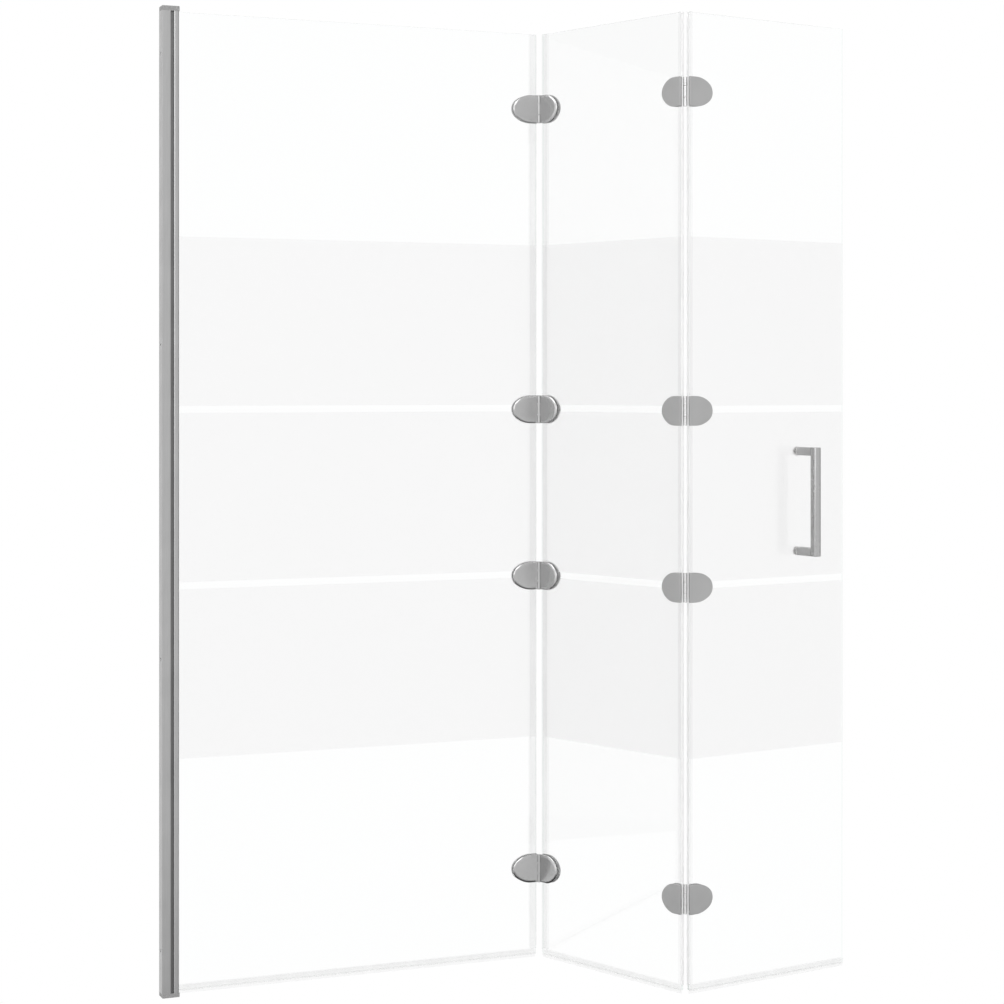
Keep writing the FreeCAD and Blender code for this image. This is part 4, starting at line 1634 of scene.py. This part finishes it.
@dataclass
class Studio:
    """The white room: its world, its pale floor, its lamps and its cards."""

    ambient: float = 0.55
    floor_height: float = -0.62
    floor_size: float = 24.0
    floor_tone: float = 0.86
    floor_roughness: float = 0.9
    floor_middle: tuple[float, float, float] = (0.45, -0.1, 0.0)
    shade_reach: tuple[float, float] = (1.1, 1.9)
    lamps: tuple[Lamp, ...] = (
        Lamp("key_lamp", (-2.4, -3.3, 2.4), (0.3, 0.0, 0.8), (1.6, 2.2), 64.0),
        Lamp("fill_lamp", (2.6, -3.3, 1.6), (0.5, 0.0, 0.7), (2.4, 2.4), 38.0),
        Lamp("top_lamp", (0.4, 0.2, 3.6), (0.4, 0.0, 0.7), (2.0, 2.0), 28.0),
    )
    cards: tuple[Card, ...] = (
        Card(
            "low_dark_card",
            ((-0.5, -0.9, -0.6), (1.6, -0.9, -0.6), (1.6, 0.6, -0.6), (-0.5, 0.6, -0.6)), 0.1),
        Card(
            "low_grey_card",
            ((-0.8, -2.2, -0.6), (2.2, -2.2, -0.6), (2.2, -0.9, -0.6), (-0.8, -0.9, -0.6)), 0.6),
        Card(
            "left_grey_card",
            ((-3.6, 1.0, -0.6), (-2.5, 2.0, -0.6), (-2.5, 2.0, 3.4), (-3.6, 1.0, 3.4)), 0.6),
        Card(
            "left_light_card",
            ((-3.2, -2.6, -0.6), (-3.6, 1.0, -0.6), (-3.6, 1.0, 3.4), (-3.2, -2.6, 3.4)), 1.4),
        Card(
            "key_card",
            ((-3.1, -2.5, 0.8), (-1.2, -3.6, 0.8), (-1.2, -3.6, 2.8), (-3.1, -2.5, 2.8)), 2.2),
        Card(
            "high_left_card",
            ((-3.6, -2.6, 3.4), (-3.6, 1.2, 3.4), (-2.4, 1.2, 5.4), (-2.4, -2.6, 5.4)), 3.0),
        Card(
            "high_front_card",
            ((-2.4, -3.6, 2.8), (0.3, -3.6, 2.8), (0.3, -2.6, 5.0), (-2.4, -2.6, 5.0)), 3.0),
        Card(
            "right_dark_card",
            ((3.6, -1.2, -0.6), (3.6, 3.4, -0.6), (3.6, 3.4, 2.4), (3.6, -1.2, 2.4)), 0.3),
    )

    def build(self) -> None:
        """Build the room."""
        self.world()
        self.floor()
        for piece in (*self.lamps, *self.cards):
            piece.build()
            LOG.info("%s stands in the room", piece.name)

    @staticmethod
    def seen_white(nodes: Nodes) -> bpy.types.NodeSocket:
        """Tell the rays that see the background from those that light the object.

        Args:
            nodes: the tree to add to.

        Returns:
            The value, 1 for a ray that sees the background.
        """
        rays = nodes.add("ShaderNodeLightPath")
        first = nodes.add("ShaderNodeMath", operation="MAXIMUM")
        second = nodes.add("ShaderNodeMath", operation="MAXIMUM")
        nodes.join(rays.outputs["Is Camera Ray"], first.inputs[0])
        nodes.join(rays.outputs["Is Glossy Ray"], first.inputs[1])
        nodes.join(first.outputs["Value"], second.inputs[0])
        nodes.join(rays.outputs["Is Transmission Ray"], second.inputs[1])
        return second.outputs["Value"]

    def world(self) -> None:
        """Make the white surround."""
        world = bpy.data.worlds.new("white_room")
        bpy.context.scene.world = world
        world.use_nodes = True
        nodes = Nodes(world.node_tree)
        back = world.node_tree.nodes["Background"]
        back.inputs["Color"].default_value = (1.0, 1.0, 1.0, 1.0)
        level = nodes.add("ShaderNodeMapRange")
        level.inputs["To Min"].default_value = self.ambient
        level.inputs["To Max"].default_value = 1.0
        nodes.join(self.seen_white(nodes), level.inputs["Value"])
        nodes.join(level.outputs["Result"], back.inputs["Strength"])

    def floor(self) -> None:
        """Lay the pale floor below the bath rim's height."""
        half = self.floor_size / 2 / MM
        height = self.floor_height / MM
        corners = [(x, y, height) for x, y in ((-half, -half), (half, -half), (half, half), (-half, half))]
        floor = mesh_object("pale_floor", np.array(corners), [], [(0, 1, 2, 3)])
        material = bpy.data.materials.new("pale_floor")
        material.use_nodes = True
        nodes = Nodes(material.node_tree)
        shader = material.node_tree.nodes["Principled BSDF"]
        shader.inputs["Base Color"].default_value = (self.floor_tone,) * 3 + (1.0,)
        shader.inputs["Roughness"].default_value = self.floor_roughness
        place = nodes.add("ShaderNodeTexCoord")
        away = nodes.add("ShaderNodeVectorMath", operation="DISTANCE")
        away.inputs[1].default_value = (*self.floor_middle[:2], self.floor_height)
        nodes.join(place.outputs["Object"], away.inputs[0])
        fade = nodes.add("ShaderNodeMapRange", interpolation_type="SMOOTHSTEP")
        fade.inputs["From Min"].default_value, fade.inputs["From Max"].default_value = self.shade_reach
        nodes.join(away.outputs["Value"], fade.inputs["Value"])
        white = nodes.add("ShaderNodeMath", operation="MULTIPLY")
        nodes.join(self.seen_white(nodes), white.inputs[0])
        nodes.join(fade.outputs["Result"], white.inputs[1])
        glow = nodes.add("ShaderNodeEmission")
        blend = nodes.add("ShaderNodeMixShader")
        nodes.join(white.outputs["Value"], blend.inputs[0])
        nodes.join(shader.outputs["BSDF"], blend.inputs[1])
        nodes.join(glow.outputs["Emission"], blend.inputs[2])
        nodes.join(blend.outputs["Shader"], material.node_tree.nodes["Material Output"].inputs["Surface"])
        floor.data.materials.append(material)


@dataclass(frozen=True)
class PhotoCamera:
    """The level camera of the photograph, with its picture shifted down."""

    place: tuple[float, float, float] = (-0.773, -3.145, 0.858)
    yaw_deg: float = 22.37
    focal_px: float = 2268.0
    picture_px: float = 1004.0
    sensor_mm: float = 36.0
    shift_y: float = -0.1161
    clip_end: float = 200.0

    def build(self) -> None:
        """Set up the camera."""
        data = bpy.data.cameras.new("photo_camera")
        data.sensor_width = self.sensor_mm
        data.lens = self.focal_px / self.picture_px * self.sensor_mm
        data.shift_y = self.shift_y
        data.clip_end = self.clip_end
        camera = bpy.data.objects.new("photo_camera", data)
        camera.location = self.place
        camera.rotation_euler = (QUARTER_TURN, 0.0, -math.radians(self.yaw_deg))
        bpy.context.scene.collection.objects.link(camera)
        bpy.context.scene.camera = camera


@dataclass
class Screen:
    """The whole folding screen, panel by panel from the wall."""

    shop: Workshop
    fold_1_gap: float = 4.1
    fold_2_gap: float = 1.8
    fold_1_leg: float = 10.0
    fold_2_leg: float = 5.5
    glass_start: float = 14.0
    foot_seal_start: float = 26.2
    foot_seal_gap: float = 0.6
    middle_hinge_reach: float = 36.6
    handle_x: float = 1075.0
    handle_holes: tuple[float, float] = (616.0, 762.0)
    handle_hole_radius: float = 4.0

    def build(self) -> None:
        """Build the wall profile, the three panels, the hinges and the handle."""
        WallProfile(self.shop).build()
        self.fixed_panel()
        self.middle_panel()
        self.end_panel()
        HingeInsides(self.shop).build()
        Handle(self.shop).build()

    def fixed_panel(self) -> None:
        """Build the glass at the wall, its seals and its side of the first fold."""
        body, fold, edge = Body.WALL_SIDE, LAYOUT.fold_1_x, LAYOUT.fold_1_x - self.fold_1_gap
        GlassPane(self.glass_start, edge, [(fold, Side.WALL)]).draw(
            self.shop, "fixed_pane", body, "fixed_glass")
        FootSeal(self.foot_seal_start, edge - self.foot_seal_gap).draw(
            self.shop, "fixed_foot_seal_drawn", body, "fixed_bottom_seal")
        FoldSeal(fold, Side.WALL, self.fold_1_gap, self.fold_1_leg).draw(
            self.shop, "fixed_fold_seal_drawn", body, "fixed_fold_seal")
        HingeSide(self.shop, "fixed", body, fold, Side.WALL, Face.ROOM, True).build()

    def middle_panel(self) -> None:
        """Build the middle glass, its seals and its side of both folds."""
        body, first, second = Body.MIDDLE_PANEL, LAYOUT.fold_1_x, LAYOUT.fold_2_x
        low, high = first + self.fold_1_gap, second - self.fold_2_gap
        GlassPane(low, high, [(first, Side.FREE), (second, Side.WALL)]).draw(
            self.shop, "middle_pane", body, "middle_glass")
        FootSeal(low + self.foot_seal_gap, high - self.foot_seal_gap).draw(
            self.shop, "middle_foot_seal_drawn", body, "middle_bottom_seal")
        FoldSeal(first, Side.FREE, self.fold_1_gap, self.fold_1_leg).draw(
            self.shop, "middle_fold_1_seal_drawn", body, "middle_fold_1_seal")
        FoldSeal(second, Side.WALL, self.fold_2_gap, self.fold_2_leg, web_runs_on=True).draw(
            self.shop, "middle_fold_2_seal_drawn", body, "middle_fold_2_seal")
        oval = HalfOval(reach=self.middle_hinge_reach)
        HingeSide(self.shop, "middle_fold_1", body, first, Side.FREE, Face.ROOM, False, oval).build()
        HingeSide(self.shop, "middle_fold_2", body, second, Side.WALL, Face.BATH, True, oval).build()

    def end_panel(self) -> None:
        """Build the end glass, its seals and its side of the second fold."""
        body, fold, edge = Body.END_PANEL, LAYOUT.fold_2_x, LAYOUT.free_edge_x
        low = fold + self.fold_2_gap
        holes = [(self.handle_x, z, self.handle_hole_radius) for z in self.handle_holes]
        GlassPane(low, edge, [(fold, Side.FREE)], holes).draw(self.shop, "end_pane", body, "end_glass")
        FootSeal(low + self.foot_seal_gap, edge).draw(
            self.shop, "end_foot_seal_drawn", body, "end_bottom_seal")
        FoldSeal(fold, Side.FREE, self.fold_2_gap, self.fold_2_leg, web_runs_on=True).draw(
            self.shop, "end_fold_seal_drawn", body, "end_fold_seal")
        HingeSide(self.shop, "end", body, fold, Side.FREE, Face.BATH, False).build()


def main() -> None:
    """Build the screen, the room and the camera, in that order."""
    logging.basicConfig(level=logging.INFO, format="%(name)s: %(message)s")
    Screen(Workshop()).build()
    Studio().build()
    PhotoCamera().build()
    bpy.context.scene.view_settings.view_transform = "Standard"


if __name__ == "__main__":
    main()
